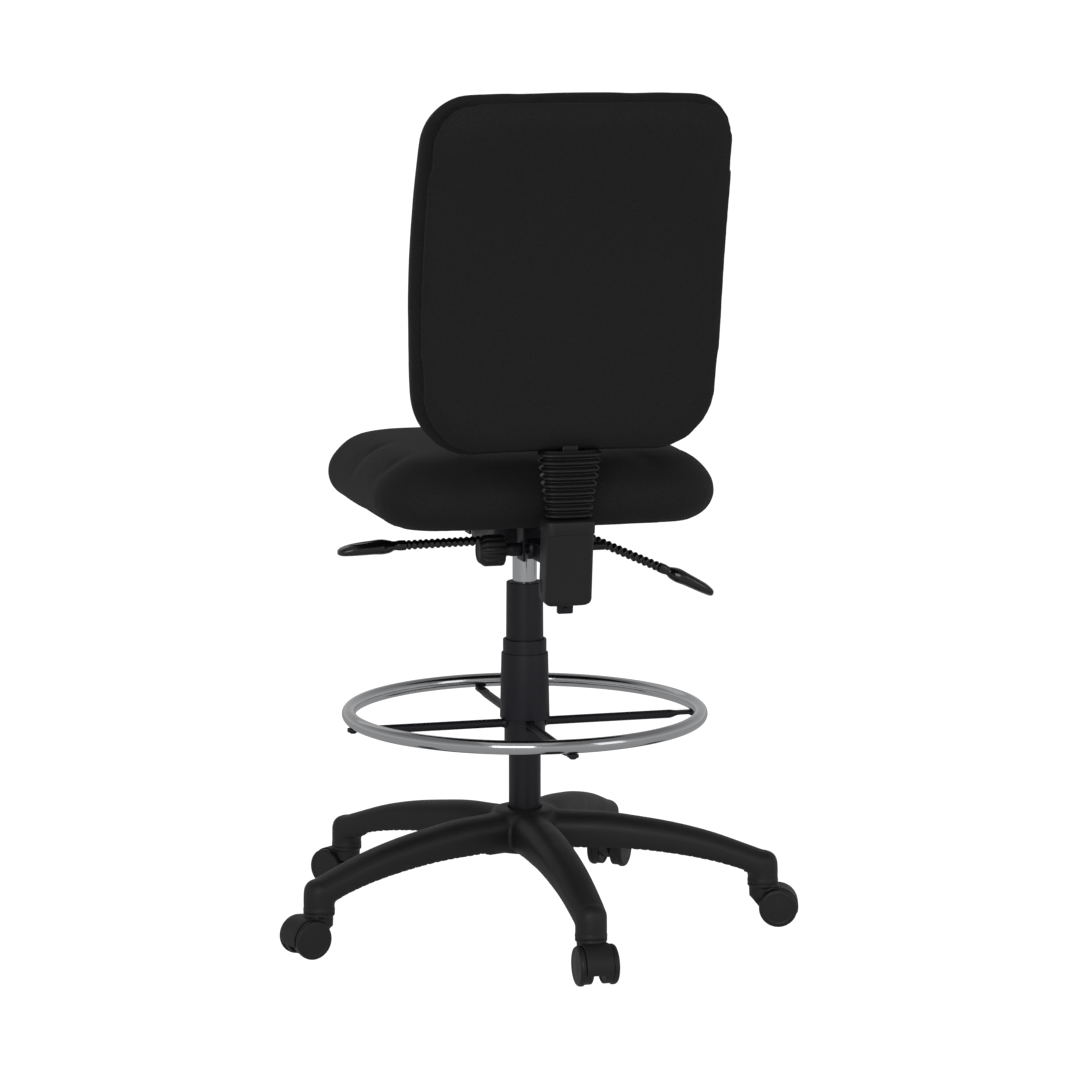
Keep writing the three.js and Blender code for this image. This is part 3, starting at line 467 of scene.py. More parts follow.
def wheel_nylon():
    """Plain moulded nylon wheel: smoother than the hood, dusty where it rolls."""
    return satin_black("wheel_nylon", 1.53, (0.7, 2, 0.03, 0.3), (9, 4),
                       ("#1e1e1f", "#262626"), (0.34, 0.5))


def powder_coat():
    """Black powder coat on steel: satin, with the faint orange peel of the cured powder."""
    return satin_black("black_powder_coat", 1.5, (1.6, 2, 0.03, 0.4), (25, 3),
                       ("#1e1e26", "#22222b"), (0.36, 0.44))


def cover_polypropylene():
    """Moulded polypropylene cover: soft satin, very slightly blue black."""
    return satin_black("cover_polypropylene", 1.49, (0.8, 2, 0.03, 0.3), (30, 3),
                       ("#1e1e28", "#22222c"), (0.4, 0.5))


def lever_plastic():
    """Polished moulded ABS of the paddles: glossy black, with a few hairline rubs."""
    material, tree, shader = new_material(
        "polished_abs", IOR=1.54, Coat_Weight=0.5, Coat_Roughness=0.08,
    )
    place = object_place(tree)
    rubs = noise(tree, place, 6, 5, 0.7)
    bump(tree, shader, noise(tree, place, 4, 2), 0.02, 0.2)
    shader.inputs["Base Color"].default_value = linear("#161617")
    tree.links.new(ranged(tree, rubs, 0.14, 0.24), shader.inputs["Roughness"])
    return material


def boot_rubber():
    """Flexible moulded boot: satin black with a skin of fine pores."""
    return satin_black("boot_rubber", 1.52, (0.8, 3, 0.03, 0.35), (14, 3),
                       ("#1a1a1b", "#212122"), (0.32, 0.42))


def chrome_plate():
    """Bright chrome on steel: near mirror, with faint polishing streaks and finger haze."""
    material, tree, shader = new_material("chrome_plate", Metallic=1.0)
    place = object_place(tree)
    haze = noise(tree, place, 18, 4)
    shader.inputs["Base Color"].default_value = linear("#dcdde0")
    tree.links.new(ranged(tree, haze, 0.09, 0.17), shader.inputs["Roughness"])
    bump(tree, shader, noise(tree, place, 0.8, 2), 0.004, 0.2)
    return material


def turned_steel():
    """Turned bright steel of pins and rods: fine rings left by the tool."""
    material, tree, shader = new_material("turned_steel", Metallic=1.0)
    place = object_place(tree)
    rings = noise(tree, place, 0.8, 3)
    shader.inputs["Base Color"].default_value = linear("#9c9da0")
    bump(tree, shader, rings, 0.02, 0.3)
    tree.links.new(ranged(tree, rings, 0.22, 0.38), shader.inputs["Roughness"])
    return material


def black_acetal():
    """Machined acetal bushes: waxy black."""
    material, tree, shader = new_material("black_acetal", IOR=1.48)
    place = object_place(tree)
    waxy = noise(tree, place, 5, 3)
    tree.links.new(tinted(tree, waxy, "#202021", "#29292a"), shader.inputs["Base Color"])
    tree.links.new(ranged(tree, waxy, 0.34, 0.44), shader.inputs["Roughness"])
    bump(tree, shader, waxy, 0.02, 0.2)
    return material


def board_cover():
    """Black non-woven dust cloth stretched over the boards: flat, fibrous and dull."""
    material, tree, shader = new_material("black_dust_cloth", IOR=1.45)
    place = object_place(tree)
    fibres = noise(tree, place, 1.4, 5, 0.7)
    tree.links.new(tinted(tree, fibres, "#08080a", "#101011"), shader.inputs["Base Color"])
    tree.links.new(ranged(tree, fibres, 0.85, 0.98), shader.inputs["Roughness"])
    bump(tree, shader, fibres, 0.08, 0.4)
    return material


fabric = woven_polyester()
nylon = grained_nylon()
wheel_plastic = wheel_nylon()
coat = powder_coat()
cover = cover_polypropylene()
gloss = lever_plastic()
rubber = boot_rubber()
chrome = chrome_plate()
steel = turned_steel()
acetal = black_acetal()
dust_cloth = board_cover()

slot_finish = {
    "nylon_black": nylon, "wheel_nylon": wheel_plastic, "black_steel": coat, "bright_steel": steel,
    "chrome": chrome, "acetal": acetal, "cover_plastic": cover, "lever_plastic": gloss,
    "boot_rubber": rubber, "fabric_black": fabric, "plywood": dust_cloth, "board_black": dust_cloth,
}
for entry in frame["record"]["subparts"]:
    node = frame["nodes"][entry["node"]]
    node.data.materials.clear()
    node.data.materials.append(slot_finish[entry["material_slot"]])

# Base

hub_top = box("base")[1][2]
socket_low = 0.0555
socket_radius = 0.01975


def arm_section(r):
    """Inverted U across the arm, as the heights of its top and lower edge and its half width at a distance from
    the column: the outside is drawn from these, and the inside is the same pulled in by the wall."""
    top, low, half = eased([
        [0.020, hub_top - 0.003, 0.0970, 0.029], [0.060, hub_top - 0.005, 0.0970, 0.0275],
        [0.098, 0.1465, 0.0965, 0.0264], [0.146, 0.1405, 0.0955, 0.0250], [0.194, 0.1325, 0.0905, 0.0236],
        [0.241, 0.1210, 0.0825, 0.0222], [0.289, 0.1045, 0.0690, 0.0208], [0.310, 0.0970, 0.0610, 0.0198],
    ], np.array([r]))[0]
    return top, low, half


def base_arm():
    """Rings along the arm; each is the top arch, a squared oval of the arm's height and
    width, and past the socket's centre the width follows the socket's round end."""
    along = np.linspace(0.020, socket_circle, 40)
    round_end = socket_circle + np.linspace(0.003, 0.0192, 8)
    stations = np.concatenate([along, round_end])
    rings = []
    for r in stations:
        top, low, half = arm_section(min(r, socket_circle))
        past = r - socket_circle
        if past > 0:
            share = math.sqrt(max(0, 1 - (past / socket_radius) ** 2))
            half = socket_radius * share
            top = 0.070 + (0.0970 - 0.070) * share ** 0.55
            low = 0.060
        section = oval(48, half, (top - low) / 2, 0.62)
        crest = 1 - 0.22 * (section[:, 1] > 0) * (np.abs(section[:, 0]) / half) ** 2
        y, z = section[:, 0], (top + low) / 2 + section[:, 1] * crest
        rings.append(np.stack([np.full(48, r), y, z], 1))
    return skin(rings)


def arm_hollow():
    wall = 0.0038
    rings = []
    for r in np.linspace(0.064, socket_circle - socket_radius - 0.005, 24):
        top, low, half = arm_section(r)
        section = oval(32, half - wall, (top - wall - low + 0.02) / 2, 0.6)
        z = (top - wall + low - 0.02) / 2 + section[:, 1]
        rings.append(np.stack([np.full(32, r), section[:, 0], z], 1))
    return skin(rings)


def add_base():
    hub_low = box("column_tube")[0][2]
    hub = turned(softened([
        [0, hub_low], [0.0455, hub_low], [0.0455, 0.140], [0.040, hub_top - 0.001],
        [0.028, hub_top], [0, hub_top],
    ], 0.005), 72)
    socket = turned([[0, socket_low + 0.002], [socket_radius, socket_low + 0.002],
                     [socket_radius, 0.074], [0.012, 0.080], [0, 0.080]], 48)
    shapes, cuts = [hub], []
    for angle in caster_angles:
        shapes.append(moved(base_arm(), about_z(angle)))
        shapes.append(moved(moved(socket, None, (socket_circle, 0, 0)), about_z(angle)))
        cuts.append(moved(arm_hollow(), about_z(angle)))
    bore_radius = box("column_tube")[1][0] + 0.0003
    bore = turned([[0, 0.05], [bore_radius, 0.05], [bore_radius, 0.2], [0, 0.2]], 72)
    pieces = [moved(s, None, (0, column_y, 0)) for s in shapes]
    tools = [moved(s, None, (0, column_y, 0)) for s in cuts + [bore]]
    base = moulded("five_arm_base", pieces, 0.0024, 5, tools)
    finish_piece(base, nylon, "base_frame", ["base"], 50)
    rim_high, rim_radius, stem_hole = socket_low + 0.0080, socket_radius + 0.0003, 0.0064
    rim = turned(softened([
        [stem_hole, socket_low], [rim_radius, socket_low], [rim_radius, socket_low + 0.0032],
        [socket_radius - 0.0004, rim_high], [stem_hole, rim_high],
    ], 0.0005, 3, True), 72, True)
    rims = new_object("socket_rims", merged(*(moved(rim, None, (*place, 0)) for place in caster_places)))
    finish_piece(rims, nylon, "base_frame", (), 40)


add_base()

# Casters

wheel_radius = joints["wheel_left_spin_1"]["pos_m"][2]
trail = math.hypot(
    joints["wheel_left_spin_1"]["pos_m"][0],
    joints["wheel_left_spin_1"]["pos_m"][1] - column_y,
) - socket_circle
wheel_gap = 0.015
wheel_width = 0.018
wheel_outer = wheel_gap / 2 + wheel_width
hood_radius = wheel_radius + 0.0015
hood_half_width = wheel_outer - 0.0079
tread_radius = wheel_radius - 0.0017
hood_start, hood_end = math.radians(-17), math.radians(125)  # round the axle, from straight out
web_half = wheel_gap / 2 - 0.0006


def hood_shell():
    """Bent plate over the wheels: a rounded strip section carried round the axle."""
    middle_radius, half_thick = hood_radius - 0.0011, 0.0011
    section = oval(40, hood_half_width, half_thick, 0.35)
    rings = []
    for angle in np.linspace(hood_start, hood_end, 60):
        r = middle_radius + section[:, 1]
        x, z = trail + r * math.cos(angle), wheel_radius + r * math.sin(angle)
        rings.append(np.stack([x, section[:, 0], z], 1))
    return skin(rings)


def caster_web():
    """Middle plate: its side outline, the hood's arc and the lines down to the axle, with
    its thickness across Y."""
    arc = np.linspace(hood_start, hood_end, 40)
    radius = hood_radius - 0.0006
    over = np.stack([trail + radius * np.cos(arc), wheel_radius + radius * np.sin(arc)], 1)
    outline = np.vstack([over, [[-0.0165, 0.0467], [-0.0165, 0.0375], [-0.004, 0.0225], [0.007, 0.0135]]])
    outline = resampled(outline, 120)
    x, z = outline[:, 0], outline[:, 1]
    return skin([np.stack([x, np.full(120, y), z], 1) for y in (-web_half, web_half)])


def add_casters():
    neck_high = socket_low - 0.0002
    neck = turned(softened([
        [0, 0.0365], [0.0174, 0.0365], [0.0180, 0.0503], [0.0198, 0.0510], [0.0200, 0.0516],
        [0.0200, neck_high], [0, neck_high],
    ], 0.0006), 64)
    axle_place = (trail, 0, wheel_radius)
    cuts = []
    for way in (z_to_y, z_to_minus_y):
        for radius, start in ((hood_radius - 0.0022, web_half), (wheel_radius + 0.0006, hood_half_width)):
            drum = turned([[0, start], [radius, start], [radius, 0.04], [0, 0.04]], 64)
            cuts.append(moved(moved(drum, way), None, axle_place))
    housing = shape_of(moulded("hood", [neck, hood_shell(), caster_web()], 0.0008, 4, cuts))
    wheel_profile = softened([
        [0, 0.0195], [0.0033, 0.0195], [0.0033, 0.0078], [0.0095, 0.0078], [0.0105, 0.0092],
        [0.0195, 0.0092], [0.0205, 0.0078], [tread_radius, 0.0078], [tread_radius, 0.0179],
        [wheel_radius, 0.0181], [wheel_radius, 0.0222], [0.0236, 0.0247],
        [0.0195, wheel_outer - 0.0003], [0.0185, wheel_outer - 0.0007], [0.0060, wheel_outer],
        [0, wheel_outer],
    ], 0.0009)
    wheel = turned(wheel_profile, 72)
    for k, (place, angle) in enumerate(zip(caster_places, caster_angles)):
        label = k + 1
        hood = new_object(f"caster_hood_{label}", moved(moved(housing, about_z(angle)), None, (*place, 0)))
        finish_piece(hood, nylon, f"caster_{label}", [f"caster_housing_{label}"], 60)
        for name, way in (("left", z_to_y), ("right", z_to_minus_y)):
            shape = moved(moved(wheel, way), None, axle_place)
            shape = moved(moved(shape, about_z(angle)), None, (*place, 0))
            piece = new_object(f"rolling_wheel_{name}_{label}", shape)
            part = f"wheel_{name}_{label}"
            finish_piece(piece, wheel_plastic, part, [part], 35)


add_casters()

# Column, covers and gas lift


def add_turned(name, profile, node, body, material, radius=0.0006, loop=True, count=96):
    shape = turned(softened(profile, radius, 4, loop), count, loop)
    piece = new_object(name, moved(shape, None, (column[0], column_y, 0)))
    return finish_piece(piece, material, body, [node], 35)


def tube_profile(node, wall, flare=0.0):
    """Wall section of a tube between its box's ends; flare narrows the top."""
    low, high = box(node)
    outer = (high[0] - low[0]) / 2
    return [[outer - wall, low[2]], [outer, low[2]], [outer - flare, high[2]], [outer - wall, high[2]]]


def add_column():
    add_turned("outer_tube", tube_profile("column_tube", 0.002), "column_tube", "base_frame",
               coat)
    low, high = box("cover_upper")
    outer = (high[0] - low[0]) / 2
    rod = (box("gas_cylinder")[1][0] - box("gas_cylinder")[0][0]) / 2
    wall, lip = 0.0034, 0.003
    add_turned("upper_cover", [
        [outer - wall, low[2]], [outer, low[2]], [outer - 0.0008, high[2] - 0.0006],
        [outer - 0.0022, high[2]], [rod + 0.0005, high[2]], [rod + 0.0005, high[2] - lip],
        [outer - wall, high[2] - lip],
    ], "cover_upper", "base_frame", cover, 0.0008)
    add_turned("middle_cover", tube_profile("cover_middle", wall, 0.0002), "cover_middle",
               "cover_middle", cover, 0.0012)
    add_turned("lower_cover", tube_profile("cover_lower", wall, 0.002), "cover_lower",
               "foot_ring", cover, 0.0012)


def add_gas_cylinder():
    low, high = box("gas_cylinder")
    radius = (high[0] - low[0]) / 2
    boss_low = box("mechanism_housing")[0][2]
    inner, rod_hole, button = radius - 0.004, 0.0053, 0.004
    end_wall, crown, shoulder = low[2] + 0.012, 0.505, 0.521
    profile = softened([
        [0, crown], [inner, crown], [inner, end_wall], [rod_hole, end_wall], [rod_hole, low[2]],
        [radius, low[2]], [radius, boss_low], [0.0138, shoulder], [button, shoulder],
        [button, high[2]], [0, high[2]],
    ], 0.0006)
    piece = new_object("lift_cylinder", moved(turned(profile, 96), None, (column[0], column_y, 0)))
    finish_piece(piece, chrome, "mechanism", ["gas_cylinder"], 35)


add_column()
add_gas_cylinder()

# Foot ring

ring_low, ring_high = box("foot_ring")
ring_tube = (ring_high[2] - ring_low[2]) / 2
ring_radius = (ring_high[0] - ring_low[0]) / 2 - ring_tube
ring_height = (ring_high[2] + ring_low[2]) / 2


def add_foot_ring():
    """Round section carried round the column, and its four spokes: each runs out from a
    fillet on the sleeve, then flattens into a tab under the ring."""
    turn = np.arange(200) / 200 * 2 * np.pi
    side = np.arange(40) / 40 * 2 * np.pi
    r = ring_radius + ring_tube * np.cos(side)
    z = np.repeat((ring_height + ring_tube * np.sin(side))[None], 200, 0)
    rings = np.stack([np.cos(turn)[:, None] * r, column_y + np.sin(turn)[:, None] * r, z], -1)
    ring = new_object("chrome_ring", skin(rings, loop=True))
    finish_piece(ring, chrome, "foot_ring", ["foot_ring"])

    low, high = box("foot_ring_hub")
    sleeve_outer, sleeve_waist, bore = 0.02715, 0.02655, 0.0243
    tab_top = ring_low[2] - 0.0003
    spoke_z, spoke_radius = ring_low[2] - 0.004, 0.0056
    spoke_start, tab_start = 0.0262, 0.196
    tab_end, tab_round = ring_radius + 0.007, 0.005
    tab_half_wide, tab_half_tall = 0.007, 0.0025
    sleeve = turned(softened([
        [bore, low[2]], [sleeve_outer, low[2]], [sleeve_outer, low[2] + 0.0035],
        [sleeve_waist, low[2] + 0.0042], [sleeve_waist, high[2] - 0.0042],
        [sleeve_outer, high[2] - 0.0035], [sleeve_outer, high[2]], [bore, high[2]],
    ], 0.0005, 3, True), 96, True)
    along = np.concatenate([
        [spoke_start, 0.0275, 0.0290, 0.0315], np.linspace(0.036, tab_start, 12),
        np.linspace(0.199, tab_end - tab_round, 10),
        tab_end - tab_round * (1 - np.sin(np.linspace(0.2, 1.45, 6))),
    ])
    rings = []
    for x in along:
        weld = 0.0024 * max(0.0, 1 - (x - spoke_start) / 0.0053) ** 2
        flat = float(np.clip((x - tab_start) / 0.012, 0, 1))
        flat = flat * flat * (3 - 2 * flat)
        half_wide = (spoke_radius + weld) * (1 - flat) + tab_half_wide * flat
        half_tall = (spoke_radius + weld) * (1 - flat) + tab_half_tall * flat
        past = x - (tab_end - tab_round)
        if past > 0:
            half_wide = 0.002 + 0.005 * math.sqrt(max(0.0, 1 - (past / tab_round) ** 2))
        centre = spoke_z * (1 - flat) + (tab_top - tab_half_tall) * flat
        section = oval(32, half_wide, half_tall, 1.0 - 0.55 * flat)
        rings.append(np.stack([np.full(32, x), section[:, 0], centre + section[:, 1]], 1))
    spoke = skin(rings)
    spokes = [moved(spoke, about_z(k * math.pi / 2)) for k in range(4)]
    hub = new_object("ring_spider", moved(merged(sleeve, *spokes), None, (0, column_y, 0)))
    finish_piece(hub, coat, "foot_ring", ["foot_ring_hub"], 45)

    head = box("foot_ring_screw_1")
    head_low = head[0][2]
    screw = turned(softened([
        [0, head_low + 0.0024], [0.0019, head_low + 0.0024], [0.0021, head_low + 0.0012],
        [0.0034, head_low + 0.0011], [0.0046, head_low + 0.0020], [0.0048, head_low + 0.0028],
        [0.0025, head_low + 0.0028], [0.0025, head[1][2]], [0, head[1][2]],
    ], 0.0003), 36)
    for k in range(4):
        place = middle(f"foot_ring_screw_{k + 1}")
        piece = new_object(f"ring_bolt_{k + 1}", moved(screw, None, (place[0], place[1], 0)))
        finish_piece(piece, coat, "foot_ring", [f"foot_ring_screw_{k + 1}"], 35)


add_foot_ring()

# Mechanism


def eased_copy(node, name, width, material, body, sharp_angle=32):
    """A machined or pressed piece with its edges broken by a small bevel."""
    source = frame["nodes"][node]
    piece = bpy.data.objects.new(name, source.data.copy())
    scene.collection.objects.link(piece)
    add_modifier(piece, "WELD", merge_threshold=1e-5)
    add_modifier(piece, "DECIMATE", decimate_type="DISSOLVE", angle_limit=math.radians(1))
    add_modifier(piece, "BEVEL", width=width, segments=2, limit_method="ANGLE",
                 angle_limit=math.radians(38), use_clamp_overlap=True)
    applied(piece)
    return finish_piece(piece, material, body, [node], sharp_angle)


eased_copy("mechanism_housing", "tilt_housing", 0.0012, coat, "mechanism")
eased_copy("seat_plate", "top_plate", 0.0005, coat, "seat")
eased_copy("back_arm", "back_link", 0.0012, coat, "back_carrier")

pivot_low, pivot_high = box("pivot_shaft")
pivot = joints["back_tilt"]["pos_m"]


def on_pivot(shape):
    return moved(moved(shape, z_to_x), None, (0, pivot[1], pivot[2]))


def add_pivot_shaft():
    start = 0.0335
    profile = softened([
        [0, pivot_low[0]], [0.0053, pivot_low[0]], [0.0053, start], [0.0085, start], [0.0085, 0.046],
        [0.0078, 0.0468], [0.0078, 0.0547], [0.004, 0.0547], [0.004, pivot_high[0]], [0, pivot_high[0]],
    ], 0.0008)
    piece = new_object("pivot_spindle", on_pivot(turned(profile, 48)))
    finish_piece(piece, coat, "seat", ["pivot_shaft"], 35)


def add_back_knob():
    """Grip turned about the pivot: its radius dips in rounded flutes between flat lands, and
    the flutes fade out in the chamfer at the outer end."""
    low, high = box("back_knob")
    flutes, count = 14, 224
    turn = np.arange(count) / count * 2 * np.pi
    wave = np.clip(1.6 * (0.5 + 0.5 * np.cos(flutes * turn)) - 0.35, 0, 1) ** 1.5
    start, end = low[0], high[0]
    profile = np.array([
        [0.0045, start + 0.020, 0], [0.0045, start, 0], [0.0150, start, 0],
        [0.0188, start + 0.0006, 0.6], [0.0200, start + 0.0022, 1], [0.0200, start + 0.0240, 1],
        [0.0192, start + 0.0262, 1], [0.0165, start + 0.0298, 0.5], [0.0150, end - 0.0008, 0.1],
        [0.0138, end, 0], [0.0110, end, 0], [0.0104, end - 0.0008, 0], [0.0040, end - 0.0008, 0],
    ])
    rings = []
    for radius, x, depth in profile:
        r = radius - 0.0016 * depth * wave
        y, z = pivot[1] + r * np.cos(turn), pivot[2] + r * np.sin(turn)
        rings.append(np.stack([np.full(count, x), y, z], 1))
    piece = new_object("fluted_knob", skin(rings))
    finish_piece(piece, nylon, "back_knob", ["back_knob"], 50)


add_pivot_shaft()
add_back_knob()

# Levers


def lever_shape(sleeve, paddle, pitch=0.0078, start=0.005):
    """Along X: a sleeve whose radius swells and sinks once a pitch, a short cuff, then the
    paddle, a run of squared ovals whose width, rise and sink follow smooth lines."""
    ribs = round((sleeve - start) / pitch)
    steps = ribs * 14
    x = start + (sleeve - start) * np.linspace(0, 1, steps + 1)
    phase = (x - start) / (sleeve - start) * ribs
    swell = 0.5 - 0.5 * np.cos(2 * np.pi * phase)
    radius = 0.0045 + 0.0020 * swell ** 0.7
    profile = np.stack([radius, x], 1)
    cuff, cuff_end = 0.0052, sleeve + 0.008
    profile = np.vstack([[[0, start]], profile, [[cuff, sleeve + 0.001], [cuff, cuff_end], [0, cuff_end]]])
    ribbed = moved(turned(profile, 32), z_to_x)
    share = np.concatenate([[0, 0.004, 0.012], np.linspace(0.03, 0.97, 60), [0.982, 0.992, 0.999]])
    width, rise, sink = eased([
        [0.00, 0.0066, 0.0064, 0.0064], [0.10, 0.0070, 0.0066, 0.0066], [0.18, 0.0066, 0.0058, 0.0060],
        [0.23, 0.0100, 0.0070, 0.0080], [0.32, 0.0140, 0.0088, 0.0096], [0.50, 0.0160, 0.0084, 0.0094],
        [0.68, 0.0160, 0.0070, 0.0096], [0.84, 0.0148, 0.0044, 0.0096], [0.94, 0.0126, 0.0014, 0.0092],
        [1.00, 0.0102, -0.0008, 0.0086],
    ], share).T
    edge = np.sqrt(np.clip(1 - ((share - 0.93) / 0.07).clip(0, 1) ** 2, 0.02, 1))
    edge = edge * np.sqrt(np.clip(share / 0.012, 0.35, 1))
    rings = []
    for s, w, up, down, e in zip(share, width, rise, sink, edge):
        half, centre = (up + down) / 2, (up - down) / 2
        section = oval(48, w * e, half * (0.45 + 0.55 * e), 0.80)
        dish = 0.0016 * np.exp(-((s - 0.62) / 0.2) ** 2) * np.exp(-(section[:, 0] / 0.009) ** 2)
        height = centre + section[:, 1] - dish * (section[:, 1] > 0)
        rings.append(np.stack([np.full(48, sleeve + s * paddle), section[:, 0], height], 1))
    return merged(ribbed, skin(rings))


def add_lever(name, joint, side, slope, sleeve, paddle):
    root = joints[joint]["pos_m"]
    turn = (about_z(0) if side > 0 else about_z(math.pi)) @ about_y(math.radians(slope))
    shape = moved(moved(lever_shape(sleeve, paddle), turn), None, root)
    piece = new_object(f"{name}_handle", shape)
    finish_piece(piece, gloss, name, [f"{name}_grip"], 50)


add_lever("tilt_lever", "tilt_lever_lift", 1, 1, 0.104, 0.090)
add_lever("height_lever", "height_lever_lift", -1, 24.2, 0.147, 0.084)

# Back carrier

recline = math.radians(6)
carrier_turn = about_x(-recline)
carrier_root = np.array([0, column_y + 0.1913, 0.453])
bracket_height = 0.1075


def on_carrier(shape):
    """From upright, with the bar's centre on Z, to the leaning carrier."""
    return moved(moved(shape, carrier_turn), None, carrier_root)


def add_bracket():
    """Squared-oval box with a chamfered foot and a prouder band round its top."""
    half_x, half_y = 0.0305, 0.0200
    band = bracket_height - 0.017
    levels = [
        [-0.0015, -0.0062], [-0.0009, -0.0048], [0.0012, -0.0022], [0.0040, -0.0006], [0.0070, 0],
        [band - 0.0010, 0], [band - 0.0004, 0.0002], [band, 0.0008], [band + 0.0006, 0.0012],
        [bracket_height - 0.0030, 0.0012], [bracket_height - 0.0012, 0.0006],
        [bracket_height - 0.0003, -0.0008], [bracket_height, -0.0024],
    ]
    rings = []
    for z, out in levels:
        section = oval(96, half_x + out, half_y + out, 0.30)
        rings.append(np.stack([section[:, 0], section[:, 1], np.full(96, z)], 1))
    body = skin(rings)
    rib = skin([np.stack([0.0288 + s[:, 0], -0.006 + s[:, 1], np.full(16, z)], 1) for z, s in (
        (0.010, oval(16, 0.0008, 0.006)), (0.014, oval(16, 0.0032, 0.0085)),
        (0.026, oval(16, 0.0032, 0.0085)), (0.030, oval(16, 0.0008, 0.006)))])
    piece = new_object("ratchet_box", on_carrier(merged(body, rib)))
    finish_piece(piece, nylon, "back_carrier", ["height_bracket"], 35)


def add_upright():
    """Flat bar with rounded edges and a rounded foot, with a stop screw in its tab."""
    low, high = -0.0145, 0.2575
    rings = []
    for z, shrink in (
        (low, 0.0012), (low + 0.0006, 0.0004), (low + 0.0016, 0), (high - 0.002, 0), (high, 0.002),
    ):
        section = oval(48, 0.010 - shrink, 0.0035 - shrink * 0.3, 0.22)
        rings.append(np.stack([section[:, 0], section[:, 1], np.full(48, z)], 1))
    screw = turned(softened([
        [0, 0.0030], [0.0034, 0.0030], [0.0034, 0.0046], [0.0024, 0.0054], [0, 0.0054],
    ], 0.0004), 28)
    screw = moved(moved(screw, z_to_y), None, (0, 0, low + 0.0052))
    piece = new_object("ratchet_bar", on_carrier(merged(skin(rings), screw)))
    finish_piece(piece, coat, "back", ["upright_bar"], 35)


def add_bellows():
    """Flat-oval boot: its half width grows up its length, and both half sizes dip between
    ribs as the rib phase passes each whole number."""
    ribs, height = 9, 0.0868
    low = bracket_height + 0.0004
    share = np.linspace(0, 1, ribs * 16 + 1)
    phase = share * ribs
    ridge = np.abs(np.sin(np.pi * phase)) ** 1.7
    rings = []
    for s, r in zip(share, ridge):
        half = 0.0300 + 0.0105 * s
        inset = 0.0050 * (1 - r)
        section = oval(72, half - inset, 0.0160 + 0.0015 * s - inset, 0.62)
        rings.append(np.stack([section[:, 0], section[:, 1], np.full(72, low + s * height)], 1))
    outer = np.array(rings)
    hole = oval(72, 0.019, 0.0105, 0.62)
    inner = np.array([np.stack([hole[:, 0], hole[:, 1], ring[:, 2]], 1) for ring in outer[::-12]])
    shape = on_carrier(skin(np.concatenate([outer, inner]), loop=True))
    piece = new_object("boot", shape)
    finish_piece(piece, rubber, None, ["bellows"], 60)
    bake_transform(piece)


add_bracket()
add_upright()
add_bellows()

# Pads


def inflated(name, shape, voxel, travel):
    """Pad puffed out by a short cloth simulation: the closed shape is remeshed to even
    squares, air pressure pushes its skin out with no gravity, no point moves further than
    the travel, and one subdivision smooths the result."""
    piece = moulded(name, [shape], voxel, 6)
    frames = 20
    count = len(piece.data.vertices)
    start = np.zeros(count * 3)
    piece.data.vertices.foreach_get("co", start)
    cloth = add_modifier(piece, "CLOTH")
    cloth.settings.quality = 6
    cloth.settings.mass = 0.3
    cloth.settings.tension_stiffness = 30
    cloth.settings.compression_stiffness = 30
    cloth.settings.bending_stiffness = 2
    cloth.settings.use_pressure = True
    cloth.settings.uniform_pressure_force = 4
    cloth.settings.effector_weights.gravity = 0
    scene.frame_start, scene.frame_end = 1, frames
    cloth.point_cache.frame_start, cloth.point_cache.frame_end = 1, frames
    for step in range(1, frames + 1):
        scene.frame_set(step)
    applied(piece)
    scene.frame_set(1)
    end = np.zeros(count * 3)
    piece.data.vertices.foreach_get("co", end)
    move = (end - start).reshape(-1, 3)
    length = np.linalg.norm(move, axis=1, keepdims=True)
    move *= np.minimum(1, travel / np.maximum(length, 1e-9))
    piece.data.vertices.foreach_set("co", (start.reshape(-1, 3) + move).ravel())
    piece.data.update()
    add_modifier(piece, "SMOOTH", factor=0.5, iterations=12)
    applied(piece)
    add_modifier(piece, "SUBSURF", levels=1, render_levels=1)
    return applied(piece)


back_foot = (column_y + 0.185, 0.680)


def back_surface(z):
    """Y of the back's middle surface: straight up from its foot, bending back from one
    height to the next with the square of the rise, then straight on."""
    bent = np.clip(z - 0.800, 0, 0.200)
    beyond = np.maximum(0, z - 1.000)
    return back_foot[0] + 0.081 * (z - back_foot[1]) + 0.72 * bent ** 2 + 0.288 * beyond


def back_ring(offset, inset, drop=0.0, low_corner=0.072, high_corner=0.050, count=160):
    """The back's outline pulled in by the inset and let down by the drop, waisted and
    crowned, on the middle surface moved by the offset."""
    high = 1.0834 - inset - drop
    outline = rounded_outline(0.200 - inset, 0.640 + inset - drop, high,
                              max(low_corner - inset, 0.012), max(high_corner - inset, 0.012), count)
    x, z = outline[:, 0].copy(), outline[:, 1].copy()
    x *= 1 - 0.05 * ((z - 0.880) / 0.200) ** 2
    rise = np.clip((z - 0.880) / (high - 0.880), 0, 1)
    z -= 0.007 * rise * (x / 0.200) ** 2
    return np.stack([x, back_surface(z) + offset, z], 1)


def back_pad(levels, drop=0.0):
    front = [[levels[0][0], inset] for inset in (0.180, 0.150, 0.120, 0.090)]
    rear = [[levels[-1][0], inset] for inset in (0.090, 0.120, 0.150, 0.180)]
    return skin([back_ring(offset, inset, drop) for offset, inset in front + list(levels) + rear])


